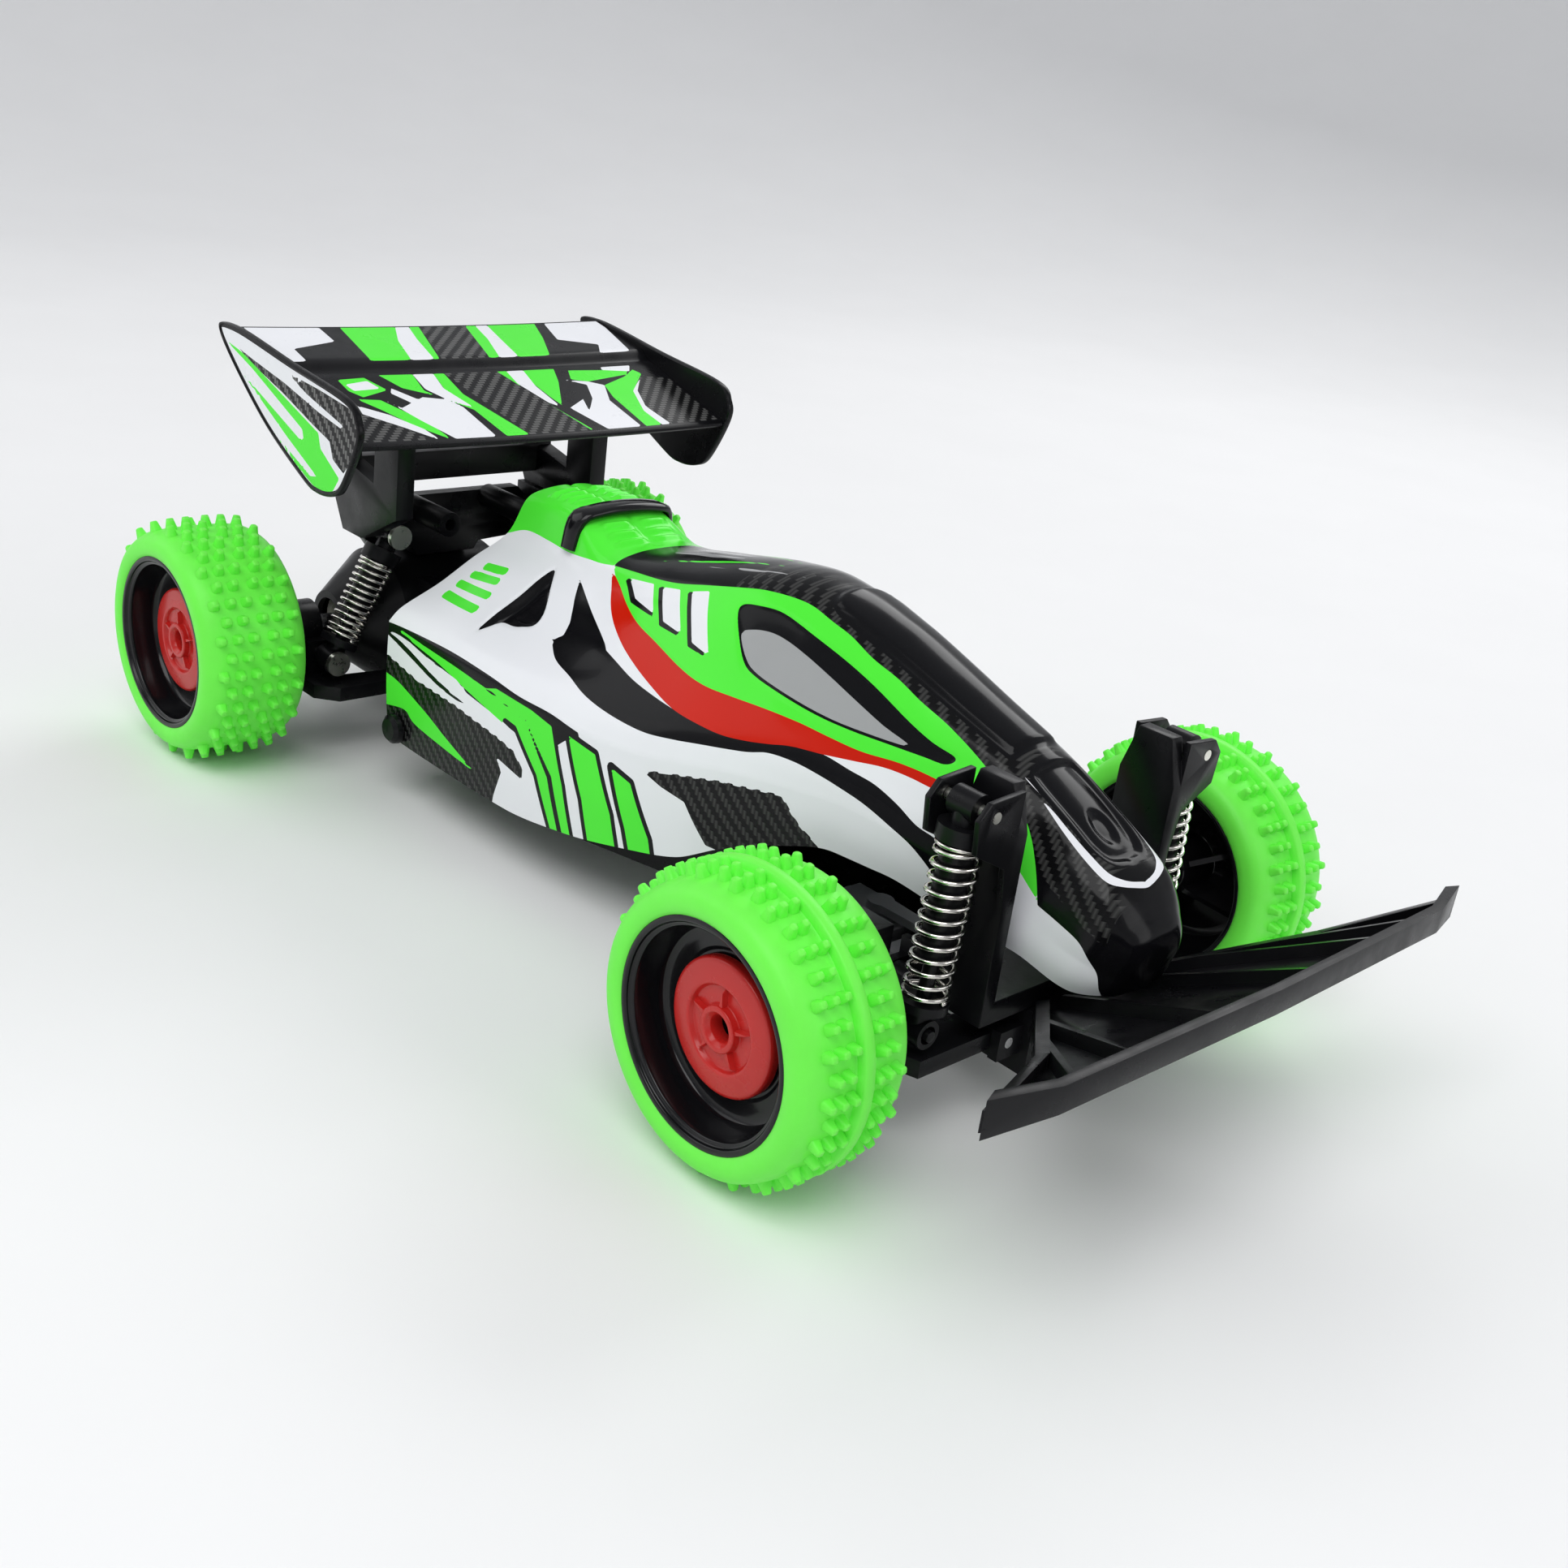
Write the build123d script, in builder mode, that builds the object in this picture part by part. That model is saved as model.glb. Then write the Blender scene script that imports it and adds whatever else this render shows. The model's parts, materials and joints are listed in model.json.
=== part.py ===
"""Radio-controlled off-road buggy with four coil-over shocks, a steered front end and a geared rear drive."""

from build123d import *
import os
from math import cos, sin, pi, radians, hypot

os.makedirs("parts", exist_ok=True)

# ---------------------------------------------------------------- driving dimensions (mm)
# +X points to the nose, +Y to the driver's left, +Z up. The ground is Z = 0.
FRONT_X = 119.5          # front axle
REAR_X = -164.5          # rear axle
FRONT_TIP_R = 40.0       # tyre radius over the tread studs, front
REAR_TIP_R = 40.5        # tyre radius over the tread studs, rear
FRONT_IN, FRONT_OUT = 70.5, 105.5    # inner and outer faces of a front wheel, |Y|
REAR_IN, REAR_OUT = 67.0, 103.5      # inner and outer faces of a rear wheel, |Y|
BEAD_R = 28.5            # tyre bead seat
RIM_R = 28.4             # outside of the rim barrel
LIP_R = 29.2             # rim flanges
BARREL_R = 26.6          # inside of the rim barrel
DISC_R = 17.5            # coloured hub disc
SPINDLE_R = 3.0          # wheel spindles and drive shafts
RUN = 0.06               # radial clearance of a turning fit
PIN_R = 1.5              # suspension hinge pins and shock bolts

FLOOR_Z = 14.0           # underside of the chassis tub
WALL = 2.2               # tub wall thickness
TUB_X0 = -108.0          # rear wall of the battery tub
TUB_Y = 38.0             # half width of the battery tub
TUB_TOP = 33.0
BEAM_Y = 15.0            # half width of the front beam and the rear tray
BEAM_X1 = 148.0          # front end of the beam
# Half outline of the tub: it is widest round the batteries and narrows to the front beam.
TUB_HALF = [(TUB_X0, TUB_Y), (-40.0, TUB_Y), (28.0, 19.0), (60.0, BEAM_Y), (BEAM_X1, BEAM_Y)]
TUB_HOLLOW = [(TUB_X0 + WALL, TUB_Y - WALL), (-40.6, TUB_Y - WALL), (27.5, 17.0), (59.8, BEAM_Y - WALL),
              (122.0, BEAM_Y - WALL)]
DOOR_X0, DOOR_X1, DOOR_Y = -94.0, -30.0, 26.0      # battery door
DOOR_HINGE_X, DOOR_HINGE_Z = DOOR_X1 + 1.2, FLOOR_Z + 1.0
DOOR_PIN_R = 0.7
REAR_TRAY_X = -198.0

PIVOT_Y, PIVOT_Z = 20.0, 24.5        # inner suspension pivots, all four arms
ARM_Z0, ARM_Z1 = 22.0, 27.0          # flat arms
KING_Y = 60.0            # steering king pin
LINK_X = 97.0            # steering link behind the front axle

MOTOR_X = -124.5
IDLER_X = -143.7
MODULE = 0.8
DRIVE_TEETH, IDLER_SMALL, IDLER_LARGE, PINION_TEETH = 38, 14, 36, 12
HOUSING_R = 24.0

# Shock end points in the plane X = constant: (|Y|, Z) of the upper and the lower eye.
FRONT_SHOCK_X = 136.5
FRONT_TOP, FRONT_LOW = (42.4, 93.0), (47.4, 33.0)
REAR_SHOCK_X = -145.5
REAR_TOP, REAR_LOW = (27.1, 76.6), (49.7, 33.5)

# Body shell sections: X, lower edge Z, side Y, belt Y and Z, shoulder Y and Z, roof edge Y and Z, roof Z.
SHELL_SECTIONS = [
    (-105.5, 20.6, 50.5, 51.5, 61.0, 35.0, 73.5, 17.0, 92.0, 94.0),
    (-82.0, 21.0, 51.5, 52.0, 61.0, 37.0, 75.5, 16.0, 104.5, 109.0),
    (-60.0, 21.4, 51.5, 52.0, 61.0, 36.5, 76.5, 17.0, 105.0, 109.0),
    (-36.0, 22.0, 51.0, 51.5, 60.8, 36.0, 75.5, 21.0, 97.5, 102.0),
    (-8.0, 25.5, 50.0, 50.8, 60.5, 36.0, 80.5, 21.0, 102.5, 107.3),
    (20.0, 31.5, 47.5, 48.0, 62.0, 35.5, 83.0, 20.0, 107.8, 113.0),
    (37.5, 36.0, 44.5, 44.5, 65.0, 34.0, 85.0, 17.0, 110.5, 115.0),
    (70.0, 52.0, 37.0, 37.5, 69.5, 30.5, 84.5, 13.5, 106.2, 110.5),
    (88.0, 57.0, 33.5, 34.0, 71.0, 28.8, 82.0, 13.0, 101.0, 105.3),
    (103.0, 57.0, 31.0, 31.5, 70.0, 27.0, 79.5, 12.8, 96.4, 100.7),
    (124.5, 53.0, 25.5, 26.5, 65.0, 23.3, 74.8, 12.0, 90.0, 93.9),
    (142.0, 50.5, 21.2, 22.0, 60.5, 20.5, 69.0, 12.0, 82.2, 86.0),
    (158.5, 45.5, 17.0, 18.0, 55.0, 17.6, 63.0, 12.0, 73.4, 75.6),
    (164.0, 45.5, 14.2, 16.0, 53.5, 15.6, 61.0, 11.0, 69.5, 71.5),
]
SHELL_WALL = 1.6
PEG_X, PEG_Z = -98.5, 25.6

# Rear wing section, X and Z of the upper surface.
FLAP_REAR, FLAP_FRONT = (-168.8, 143.5), (-140.2, 138.6)
PLANE_REAR, PLANE_FRONT = (-133.0, 135.0), (-92.5, 123.6)
WING_Y = 72.0
PLATE_Y = 74.5

BUMPER_Z = 58.0          # lower edge of the front lip
BUMPER_FRONT = 204.0


# ---------------------------------------------------------------- helpers
def save(part, name):
    part.label = name
    export_step(part, f"parts/{name}.step")


def save_pair(part, name):
    """Write the left-hand piece and its mirror image."""
    save(part, f"{name}_left")
    save(mirror(part, about=Plane.XZ), f"{name}_right")


def both_sides(half):
    """Closed outline from the points of its +Y half."""
    return half + [(x, -y) for x, y in reversed(half)]


def block(x0, x1, y0, y1, z0, z1, mode=Mode.ADD):
    with Locations(((x0 + x1) / 2, (y0 + y1) / 2, (z0 + z1) / 2)):
        Box(x1 - x0, y1 - y0, z1 - z0, mode=mode)


def bar_x(radius, x0, x1, y, z, mode=Mode.ADD):
    with Locations(((x0 + x1) / 2, y, z)):
        Cylinder(radius, x1 - x0, rotation=(0, 90, 0), mode=mode)


def bar_y(radius, y0, y1, x, z, mode=Mode.ADD):
    with Locations((x, (y0 + y1) / 2, z)):
        Cylinder(radius, y1 - y0, rotation=(90, 0, 0), mode=mode)


def bar_z(radius, z0, z1, x, y, mode=Mode.ADD):
    with Locations((x, y, (z0 + z1) / 2)):
        Cylinder(radius, z1 - z0, mode=mode)


def slab_xy(points, z0, z1, mode=Mode.ADD):
    """A plate with the given XY outline."""
    with BuildSketch(Plane.XY.offset(z0)) as outline:
        with BuildLine():
            Polyline(*points, close=True)
        make_face()
    extrude(outline.sketch, amount=z1 - z0, mode=mode)


def slab_xz(points, y0, y1, mode=Mode.ADD):
    """A plate with the given XZ outline, from y0 to y1."""
    with BuildSketch(Plane.XZ.offset(-y1)) as outline:
        with BuildLine():
            Polyline(*points, close=True)
        make_face()
    extrude(outline.sketch, amount=y1 - y0, mode=mode)


def slab_yz(points, x0, x1, mode=Mode.ADD):
    """A plate with the given YZ outline, from x0 to x1."""
    with BuildSketch(Plane.YZ.offset(x0)) as outline:
        with BuildLine():
            Polyline(*points, close=True)
        make_face()
    extrude(outline.sketch, amount=x1 - x0, mode=mode)


def turned_y(points, x, z, mode=Mode.ADD):
    """A solid of revolution about the Y axis through (x, z); points are (y, radius)."""
    with BuildSketch(Plane(origin=(x, 0, z), x_dir=(0, 1, 0), z_dir=(1, 0, 0))) as profile:
        with BuildLine():
            Polyline(*points, close=True)
        make_face()
    revolve(profile.sketch, axis=Axis((x, 0, z), (0, 1, 0)), mode=mode)


# ---------------------------------------------------------------- wheels
def make_tyre(axle_x, tip_r, y_in, y_out, name):
    shoulder_r = tip_r - 3.4
    with BuildPart() as tyre:
        turned_y(
            [
                (y_in + 2.2, BEAD_R),
                (y_in + 2.2, BEAD_R + 0.8),
                (y_in + 0.6, 31.0),
                (y_in, 33.5),
                (y_in + 1.2, shoulder_r),
                (y_in + 3.6, tip_r),
                (y_out - 3.6, tip_r),
                (y_out - 1.2, shoulder_r),
                (y_out, 33.5),
                (y_out - 0.6, 31.0),
                (y_out - 2.2, BEAD_R + 0.8),
                (y_out - 2.2, BEAD_R),
                (y_out - 6.0, BEAD_R),
                (y_out - 3.4, 33.0),
                (y_out - 6.0, tip_r - 4.6),
                (y_in + 6.0, tip_r - 4.6),
                (y_in + 3.4, 33.0),
                (y_in + 6.0, BEAD_R),
            ],
            axle_x,
            tip_r,
        )
    save_pair(tyre.part, name)


def make_rim(axle_x, axle_z, y_in, y_out, web_y, hub_y, bore_r, name):
    """Deep-dished rim: barrel with two flanges, a web near the outer face and a hub boss inside."""
    with BuildPart() as rim:
        turned_y(
            [
                (y_in + 0.9, BARREL_R),
                (y_in + 0.9, LIP_R),
                (y_in + 2.1, LIP_R),
                (y_in + 2.1, RIM_R),
                (y_out - 2.1, RIM_R),
                (y_out - 2.1, LIP_R),
                (y_out - 0.9, LIP_R),
                (y_out - 0.9, BARREL_R + 0.6),
                (y_out - 3.0, BARREL_R),
                (web_y, BARREL_R),
                (web_y, bore_r),
                (hub_y, bore_r),
                (hub_y, 6.5),
                (web_y - 2.5, 8.0),
                (web_y - 2.5, BARREL_R),
            ],
            axle_x,
            axle_z,
        )
    save_pair(rim.part, name)


def make_hub_disc(axle_x, axle_z, web_y, name):
    """Coloured disc clipped into the rim: flat ring, shallow recess and a raised boss with five ribs."""
    face = web_y + 4.8
    with BuildPart() as disc:
        turned_y(
            [
                (web_y + 0.1, 2.2),
                (web_y + 0.1, DISC_R),
                (face - 0.8, DISC_R),
                (face, DISC_R - 0.8),
                (face, 11.0),
                (face - 1.4, 10.0),
                (face - 1.4, 4.8),
                (face + 0.6, 4.4),
                (face + 0.6, 2.2),
            ],
            axle_x,
            axle_z,
        )
        for index in range(5):
            angle = radians(90 + 72 * index)
            with Locations((axle_x + 7.2 * cos(angle), face - 1.0, axle_z + 7.2 * sin(angle))):
                Box(6.0, 1.6, 1.2, rotation=(0, -90 - 72 * index, 0))
    save_pair(disc.part, name)


# ---------------------------------------------------------------- chassis
def make_chassis_tub():
    with BuildPart() as tub:
        slab_xy(both_sides(TUB_HALF), FLOOR_Z, TUB_TOP)
        block(REAR_TRAY_X, TUB_X0, -BEAM_Y, BEAM_Y, FLOOR_Z, FLOOR_Z + WALL)
        # Hollow of the main tub and of the front beam, open at the top.
        slab_xy(both_sides(TUB_HOLLOW), FLOOR_Z + WALL, TUB_TOP + 5, Mode.SUBTRACT)
        # Windows that the steering link slides through.
        block(LINK_X - 5.5, LINK_X + 3.2, -BEAM_Y - 1, BEAM_Y + 1, 20.5, 40, Mode.SUBTRACT)
        # Lugs for the front and the rear hinge pins.
        for side in (-1, 1):
            y0, y1 = sorted((side * (BEAM_Y - 1), side * 24.0))
            for x0, x1 in ((101.0, 103.7), (142.2, 145.2)):
                block(x0, x1, y0, y1, 20.0, 28.5)
            lug_y0, lug_y1 = sorted((side * 16.0, side * 24.0))
            for x0, x1 in ((-133.7, -130.7), (REAR_TRAY_X, REAR_TRAY_X + 2.8)):
                block(x0, x1, y0, y1, FLOOR_Z, 20.0)
                block(x0, x1, lug_y0, lug_y1, FLOOR_Z, 28.5)
            # Posts that the shell pegs screw into.
            y0, y1 = sorted((side * (TUB_Y - 1), side * 49.2))
            block(PEG_X - 5.5, PEG_X + 5.5, y0, y1, 20.0, 31.0)
            bar_y(2.0, min(y0, y1) - 1, max(y0, y1) + 1, PEG_X, PEG_Z, Mode.SUBTRACT)
            for x0, x1 in ((100.0, 146.0), (-199.0, -130.0)):
                bar_x(PIN_R + 0.02, x0, x1, side * PIVOT_Y, PIVOT_Z, Mode.SUBTRACT)
        # Ribs that stiffen the rear tray ahead of the gearbox.
        for y in (-13.0, 11.0):
            block(-131.0, TUB_X0 + 1, y, y + 2.0, FLOOR_Z, 20.0)
        # Door opening and switch slot in the floor.
        block(DOOR_X0 - 0.3, DOOR_X1 + 2.5, -DOOR_Y - 0.3, DOOR_Y + 0.3, FLOOR_Z - 1, FLOOR_Z + WALL + 0.5,
              Mode.SUBTRACT)
        block(-10.0, 2.0, -3.0, 3.0, FLOOR_Z - 1, FLOOR_Z + WALL + 0.5, Mode.SUBTRACT)
        # Sockets for the door's hinge pin.
        bar_y(DOOR_PIN_R + RUN, -DOOR_Y - 1.8, DOOR_Y + 1.8, DOOR_HINGE_X, DOOR_HINGE_Z, Mode.SUBTRACT)
    save(tub.part, "chassis_tub")


def make_battery_door():
    """Door in the floor, hinged at its front edge and swinging down."""
    with BuildPart() as door:
        block(DOOR_X0, DOOR_HINGE_X, -DOOR_Y, DOOR_Y, FLOOR_Z, FLOOR_Z + 2.0)
        bar_y(1.0, -DOOR_Y, DOOR_Y, DOOR_HINGE_X, DOOR_HINGE_Z)
        bar_y(DOOR_PIN_R, -DOOR_Y - 1.5, DOOR_Y + 1.5, DOOR_HINGE_X, DOOR_HINGE_Z)
        for index in range(5):
            x = DOOR_X0 + 8.0 + 11.0 * index
            block(x, x + 2.0, -20.0, 20.0, FLOOR_Z - 0.6, FLOOR_Z)
    save(door.part, "battery_door")


def make_power_switch():
    with BuildPart() as switch:
        block(-9.5, -2.5, -2.6, 2.6, FLOOR_Z + 0.1, FLOOR_Z + WALL - 0.1)
        block(-7.5, -4.5, -2.0, 2.0, FLOOR_Z - 1.2, FLOOR_Z + 0.1)
    save(switch.part, "power_switch")


def make_battery_pack():
    """Four AA-size cells side by side in a shrink sleeve."""
    cell_r = 7.2
    first_x = -83.6
    with BuildPart() as pack:
        for index in range(4):
            bar_y(cell_r, -25.0, 25.0, first_x + 2 * cell_r * index, 24.5)
        block(first_x, first_x + 6 * cell_r, -25.0, 25.0, 24.5 - cell_r, 24.5 + cell_r)
    save(pack.part, "battery_pack")


def make_circuit_board():
    with BuildPart() as board:
        block(-18.0, 20.0, -14.0, 14.0, 22.0, 23.6)
        block(-14.0, -4.0, -10.0, 0.0, 23.6, 26.0)
        block(8.0, 16.0, -10.0, 4.0, 23.6, 27.5)
        bar_z(3.2, 23.6, 30.0, -8.0, 8.0)
        bar_z(3.2, 23.6, 30.0, 1.0, 8.0)
        for x, y in ((-16.0, -12.0), (18.0, -12.0), (-16.0, 12.0), (18.0, 12.0)):
            bar_z(1.8, FLOOR_Z + WALL, 22.0, x, y)
    save(board.part, "circuit_board")


def make_shell_pegs():
    """Two round-headed pegs that hold the shell to the tub."""
    with BuildPart() as pegs:
        for side in (-1, 1):
            y0, y1 = sorted((side * 42.0, side * 52.1))
            bar_y(1.95, y0, y1, PEG_X, PEG_Z)
            profile = [(0, 0), (0, 5.2), (1.6, 4.9), (2.8, 3.6), (3.2, 0)]
            turned_y([(side * (52.1 + u), v) for u, v in profile], PEG_X, PEG_Z)
    save(pegs.part, "shell_pegs")


def make_hinge_pins():
    with BuildPart() as front:
        for side in (-1, 1):
            bar_x(PIN_R, 101.0, 145.2, side * PIVOT_Y, PIVOT_Z)
    save(front.part, "front_hinge_pins")
    with BuildPart() as rear:
        for side in (-1, 1):
            bar_x(PIN_R, REAR_TRAY_X, -186.0, side * PIVOT_Y, PIVOT_Z)
            bar_x(PIN_R, -143.0, -130.7, side * PIVOT_Y, PIVOT_Z)
    save(rear.part, "rear_hinge_pins")


# ---------------------------------------------------------------- body shell, wing and bumper
def shell_outline(section, inset, drop):
    """Closed YZ outline of one shell section, moved in by inset; drop lowers the open bottom."""
    x, low_z, side_y, belt_y, belt_z, shoulder_y, shoulder_z, roof_y, roof_z, top_z = section
    half = [
        (side_y - inset, low_z - drop),
        (belt_y - inset, belt_z - 0.4 * inset),
        (shoulder_y - 0.8 * inset, shoulder_z - 0.9 * inset),
        (roof_y - 0.9 * inset, roof_z - inset),
        (0.5 * roof_y, top_z - inset),
    ]
    return half + [(-y, z) for y, z in reversed(half)]


def make_body_shell():
    with BuildPart() as shell:
        for section in SHELL_SECTIONS:
            with BuildSketch(Plane.YZ.offset(section[0])):
                with BuildLine():
                    Polyline(*shell_outline(section, 0, 0), close=True)
                make_face()
        loft(ruled=True)
        # Rounded nose tip.
        slab_yz([(-13, 47), (13, 47), (14.5, 55), (12.5, 66), (-12.5, 66), (-14.5, 55)], 164.0, 168.5)
        # Hollow inside, open below and behind.
        last = len(SHELL_SECTIONS) - 1
        for index, section in enumerate(SHELL_SECTIONS):
            x = section[0]
            if index == 0:
                x = x - 1.0
            if index == last:
                x = x - 0.5
            with BuildSketch(Plane.YZ.offset(x)):
                with BuildLine():
                    Polyline(*shell_outline(section, SHELL_WALL, 3.0), close=True)
                make_face()
        loft(ruled=True, mode=Mode.SUBTRACT)
        # The rear edge leans forward as it rises to the engine cover.
        slab_xz([(-107, 66), (-104, 66), (-94, 84), (-82.5, 112), (-107, 112)], -60, 60, Mode.SUBTRACT)
        for side in (-1, 1):
            y0, y1 = sorted((side * 45.0, side * 56.0))
            bar_y(2.05, y0, y1, PEG_X, PEG_Z, Mode.SUBTRACT)
    save(shell.part, "body_shell")


def make_rear_wing():
    skin = 2.0
    upper = [FLAP_REAR, FLAP_FRONT, (-136.5, 135.6), PLANE_REAR, PLANE_FRONT]
    lower = [(x, z - skin) for x, z in reversed(upper)]
    plate = [
        (-178.0, 139.6),
        (-170.0, 143.8),
        (-132.3, 140.0),
        (-98.0, 136.4),
        (-90.5, 131.0),
        (-90.0, 124.0),
        (-98.0, 109.0),
        (-104.0, 104.6),
        (-113.0, 103.2),
        (-123.0, 105.5),
        (-150.0, 118.5),
    ]
    with BuildPart() as wing:
        slab_xz(upper + lower, -WING_Y, WING_Y)
        for side in (-1, 1):
            y0, y1 = sorted((side * WING_Y, side * PLATE_Y))
            slab_xz(plate, y0, y1)
    save(wing.part, "rear_wing")


def make_wing_support():
    """Two side frames under the wing, each an upright and a beam, joined by a cross bar."""
    frame_in, frame_out = 36.0, 42.5
    with BuildPart() as support:
        for side in (-1, 1):
            y0, y1 = sorted((side * frame_in, side * frame_out))
            slab_xz([(-133.0, 86.0), (-118.5, 94.0), (-118.5, 128.7), (-133.0, 132.6)], y0, y1)
            slab_xz([(-160.0, 92.0), (-152.0, 78.0), (-140.0, 78.0), (-118.5, 90.0), (-118.5, 96.0),
                     (-160.0, 104.0)], y0, y1)
            slab_xz([(-160.0, 96.0), (-151.0, 96.0), (-155.0, 138.6), (-161.0, 139.8)], y0, y1)
            y0, y1 = sorted((side * 33.3, side * (frame_in + 1)))
            block(-158.0, -140.0, y0, y1, 78.0, 88.0)
        block(-160.0, -151.0, -frame_in - 1, frame_in + 1, 93.0, 103.0)
    save(support.part, "wing_support")


def make_front_bumper():
    """Ramp plate that climbs from the chassis to a deep lip, with swept tips, rims and ribs."""
    ramp = (BUMPER_Z - 31.0) / (BUMPER_FRONT - 149.0)

    def ramp_z(x):
        return 31.0 + ramp * (x - 149.0)

    outline = [(149, 14.5), (153, 23.5), (166, 40), (181, 59), (188, 77), (197.3, 97.5), (202.5, 79)]
    outline = outline + [(BUMPER_FRONT - 1.0, 60), (BUMPER_FRONT, 0)]
    full = outline + [(x, -y) for x, y in reversed(outline[:-1])]
    with BuildPart() as bumper:
        # A tall prism of the outline, kept only where it lies within the sloping plate.
        slab_xy(full, 20, 80)
        slab_xz(
            [(140, ramp_z(140)), (210, ramp_z(210)), (210, ramp_z(210) + 2.6), (140, ramp_z(140) + 2.6)],
            -110, 110, Mode.INTERSECT,
        )
        # Front lip.
        for side in (-1, 1):
            lip = [
                (BUMPER_FRONT - 2.6, 0),
                (BUMPER_FRONT, 0),
                (BUMPER_FRONT - 1.0, side * 60),
                (202.5, side * 79),
                (197.3, side * 97.5),
                (195.5, side * 93.0),
                (199.8, side * 78),
            ]
            slab_xy(lip, BUMPER_Z - 0.5, BUMPER_Z + 6.4)
        # Side rims and ribs standing on the plate.
        for side in (-1, 1):
            for (xa, ya), (xb, yb), half in (
                ((149.0, 14.5), (181.0, 57.5), 1.6),
                ((181.0, 57.5), (196.5, 95.0), 1.4),
                ((151.0, 9.0), (201.5, 20.0), 0.8),
                ((160.0, 30.0), (201.0, 52.0), 0.8),
                ((170.0, 43.0), (200.0, 72.0), 0.8),
            ):
                length = hypot(xb - xa, yb - ya)
                nx, ny = -(yb - ya) / length * half, (xb - xa) / length * half
                corners = [(xa + nx, ya + ny), (xb + nx, yb + ny), (xb - nx, yb - ny), (xa - nx, ya - ny)]
                with BuildSketch(Plane.XY.offset(20), mode=Mode.PRIVATE) as rib_sketch:
                    with BuildLine():
                        Polyline(*[(x, side * y) for x, y in corners], close=True)
                    make_face()
                with BuildPart(mode=Mode.PRIVATE) as rib:
                    extrude(rib_sketch.sketch, amount=60)
                    slab_xz(
                        [(140, ramp_z(140) + 1), (210, ramp_z(210) + 1), (210, ramp_z(210) + 6.5),
                         (140, ramp_z(140) + 6.5)],
                        -110, 110, Mode.INTERSECT,
                    )
                add(rib.part)
        # Mounting tongue in front of the beam.
        block(148.2, 156.0, -12.0, 12.0, 26.0, 34.5)
    save(bumper.part, "front_bumper")


# ---------------------------------------------------------------- towers
def make_front_tower():
    """Bridge across the beam with a slotted post each side that captures a shock."""
    x0, x1 = FRONT_SHOCK_X - 8.9, FRONT_SHOCK_X + 8.9
    top_y, top_z = FRONT_TOP
    with BuildPart() as tower:
        block(x0, x1, -34.0, 34.0, 33.2, 39.5)
        for side in (-1, 1):
            y0, y1 = sorted((side * 29.5, side * 34.0))
            slab_xz([(x0, 33.2), (x1, 33.2), (x1, 86.0), (x1 - 3.6, 98.7), (x0 + 3.6, 98.7), (x0, 86.0)], y0, y1)
            for wall_x in (x0, x1 - 1.8):
                wall = [(33.0, 60.0), (36.0, 78.0), (47.5, 84.0), (48.5, 93.0), (45.0, 97.0), (33.0, 98.0)]
                slab_yz([(side * y, z) for y, z in wall], wall_x, wall_x + 1.8)
            bar_x(PIN_R + 0.02, x0 - 1, x1 + 1, side * top_y, top_z, Mode.SUBTRACT)
    save(tower.part, "front_shock_tower")


def make_rear_tower():
    """Upright plate on the gearbox that carries the rear shocks and the wing frames."""
    top_y, top_z = REAR_TOP
    with BuildPart() as tower:
        half = [(12.0, 64.9), (14.0, 68.0), (30.0, 69.0), (33.0, 73.0), (33.0, 84.0), (30.0, 87.0)]
        slab_yz(half + [(-y, z) for y, z in reversed(half)], -158.0, -153.0)
        block(-173.0, -153.0, -12.0, 12.0, 64.9, 68.5)
        for side in (-1, 1):
            bar_x(4.3, -153.5, -125.0, side * 17.0, 84.5)
            bar_x(2.0, -130.0, -124.0, side * 17.0, 84.5, Mode.SUBTRACT)
            bar_x(PIN_R + 0.02, -159.0, -152.0, side * top_y, top_z, Mode.SUBTRACT)
    save(tower.part, "rear_shock_tower")


def make_shock_top_screws():
    """Rear washer-head screws and the front cross pins at the upper shock eyes."""
    rear_y, rear_z = REAR_TOP
    front_y, front_z = FRONT_TOP
    with BuildPart() as screws:
        for side in (-1, 1):
            bar_x(PIN_R, -158.0, -141.2, side * rear_y, rear_z)
            bar_x(4.2, -141.2, -139.2, side * rear_y, rear_z)
            bar_x(PIN_R, FRONT_SHOCK_X - 8.9, FRONT_SHOCK_X + 8.9, side * front_y, front_z)
    save(screws.part, "shock_top_screws")


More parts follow.
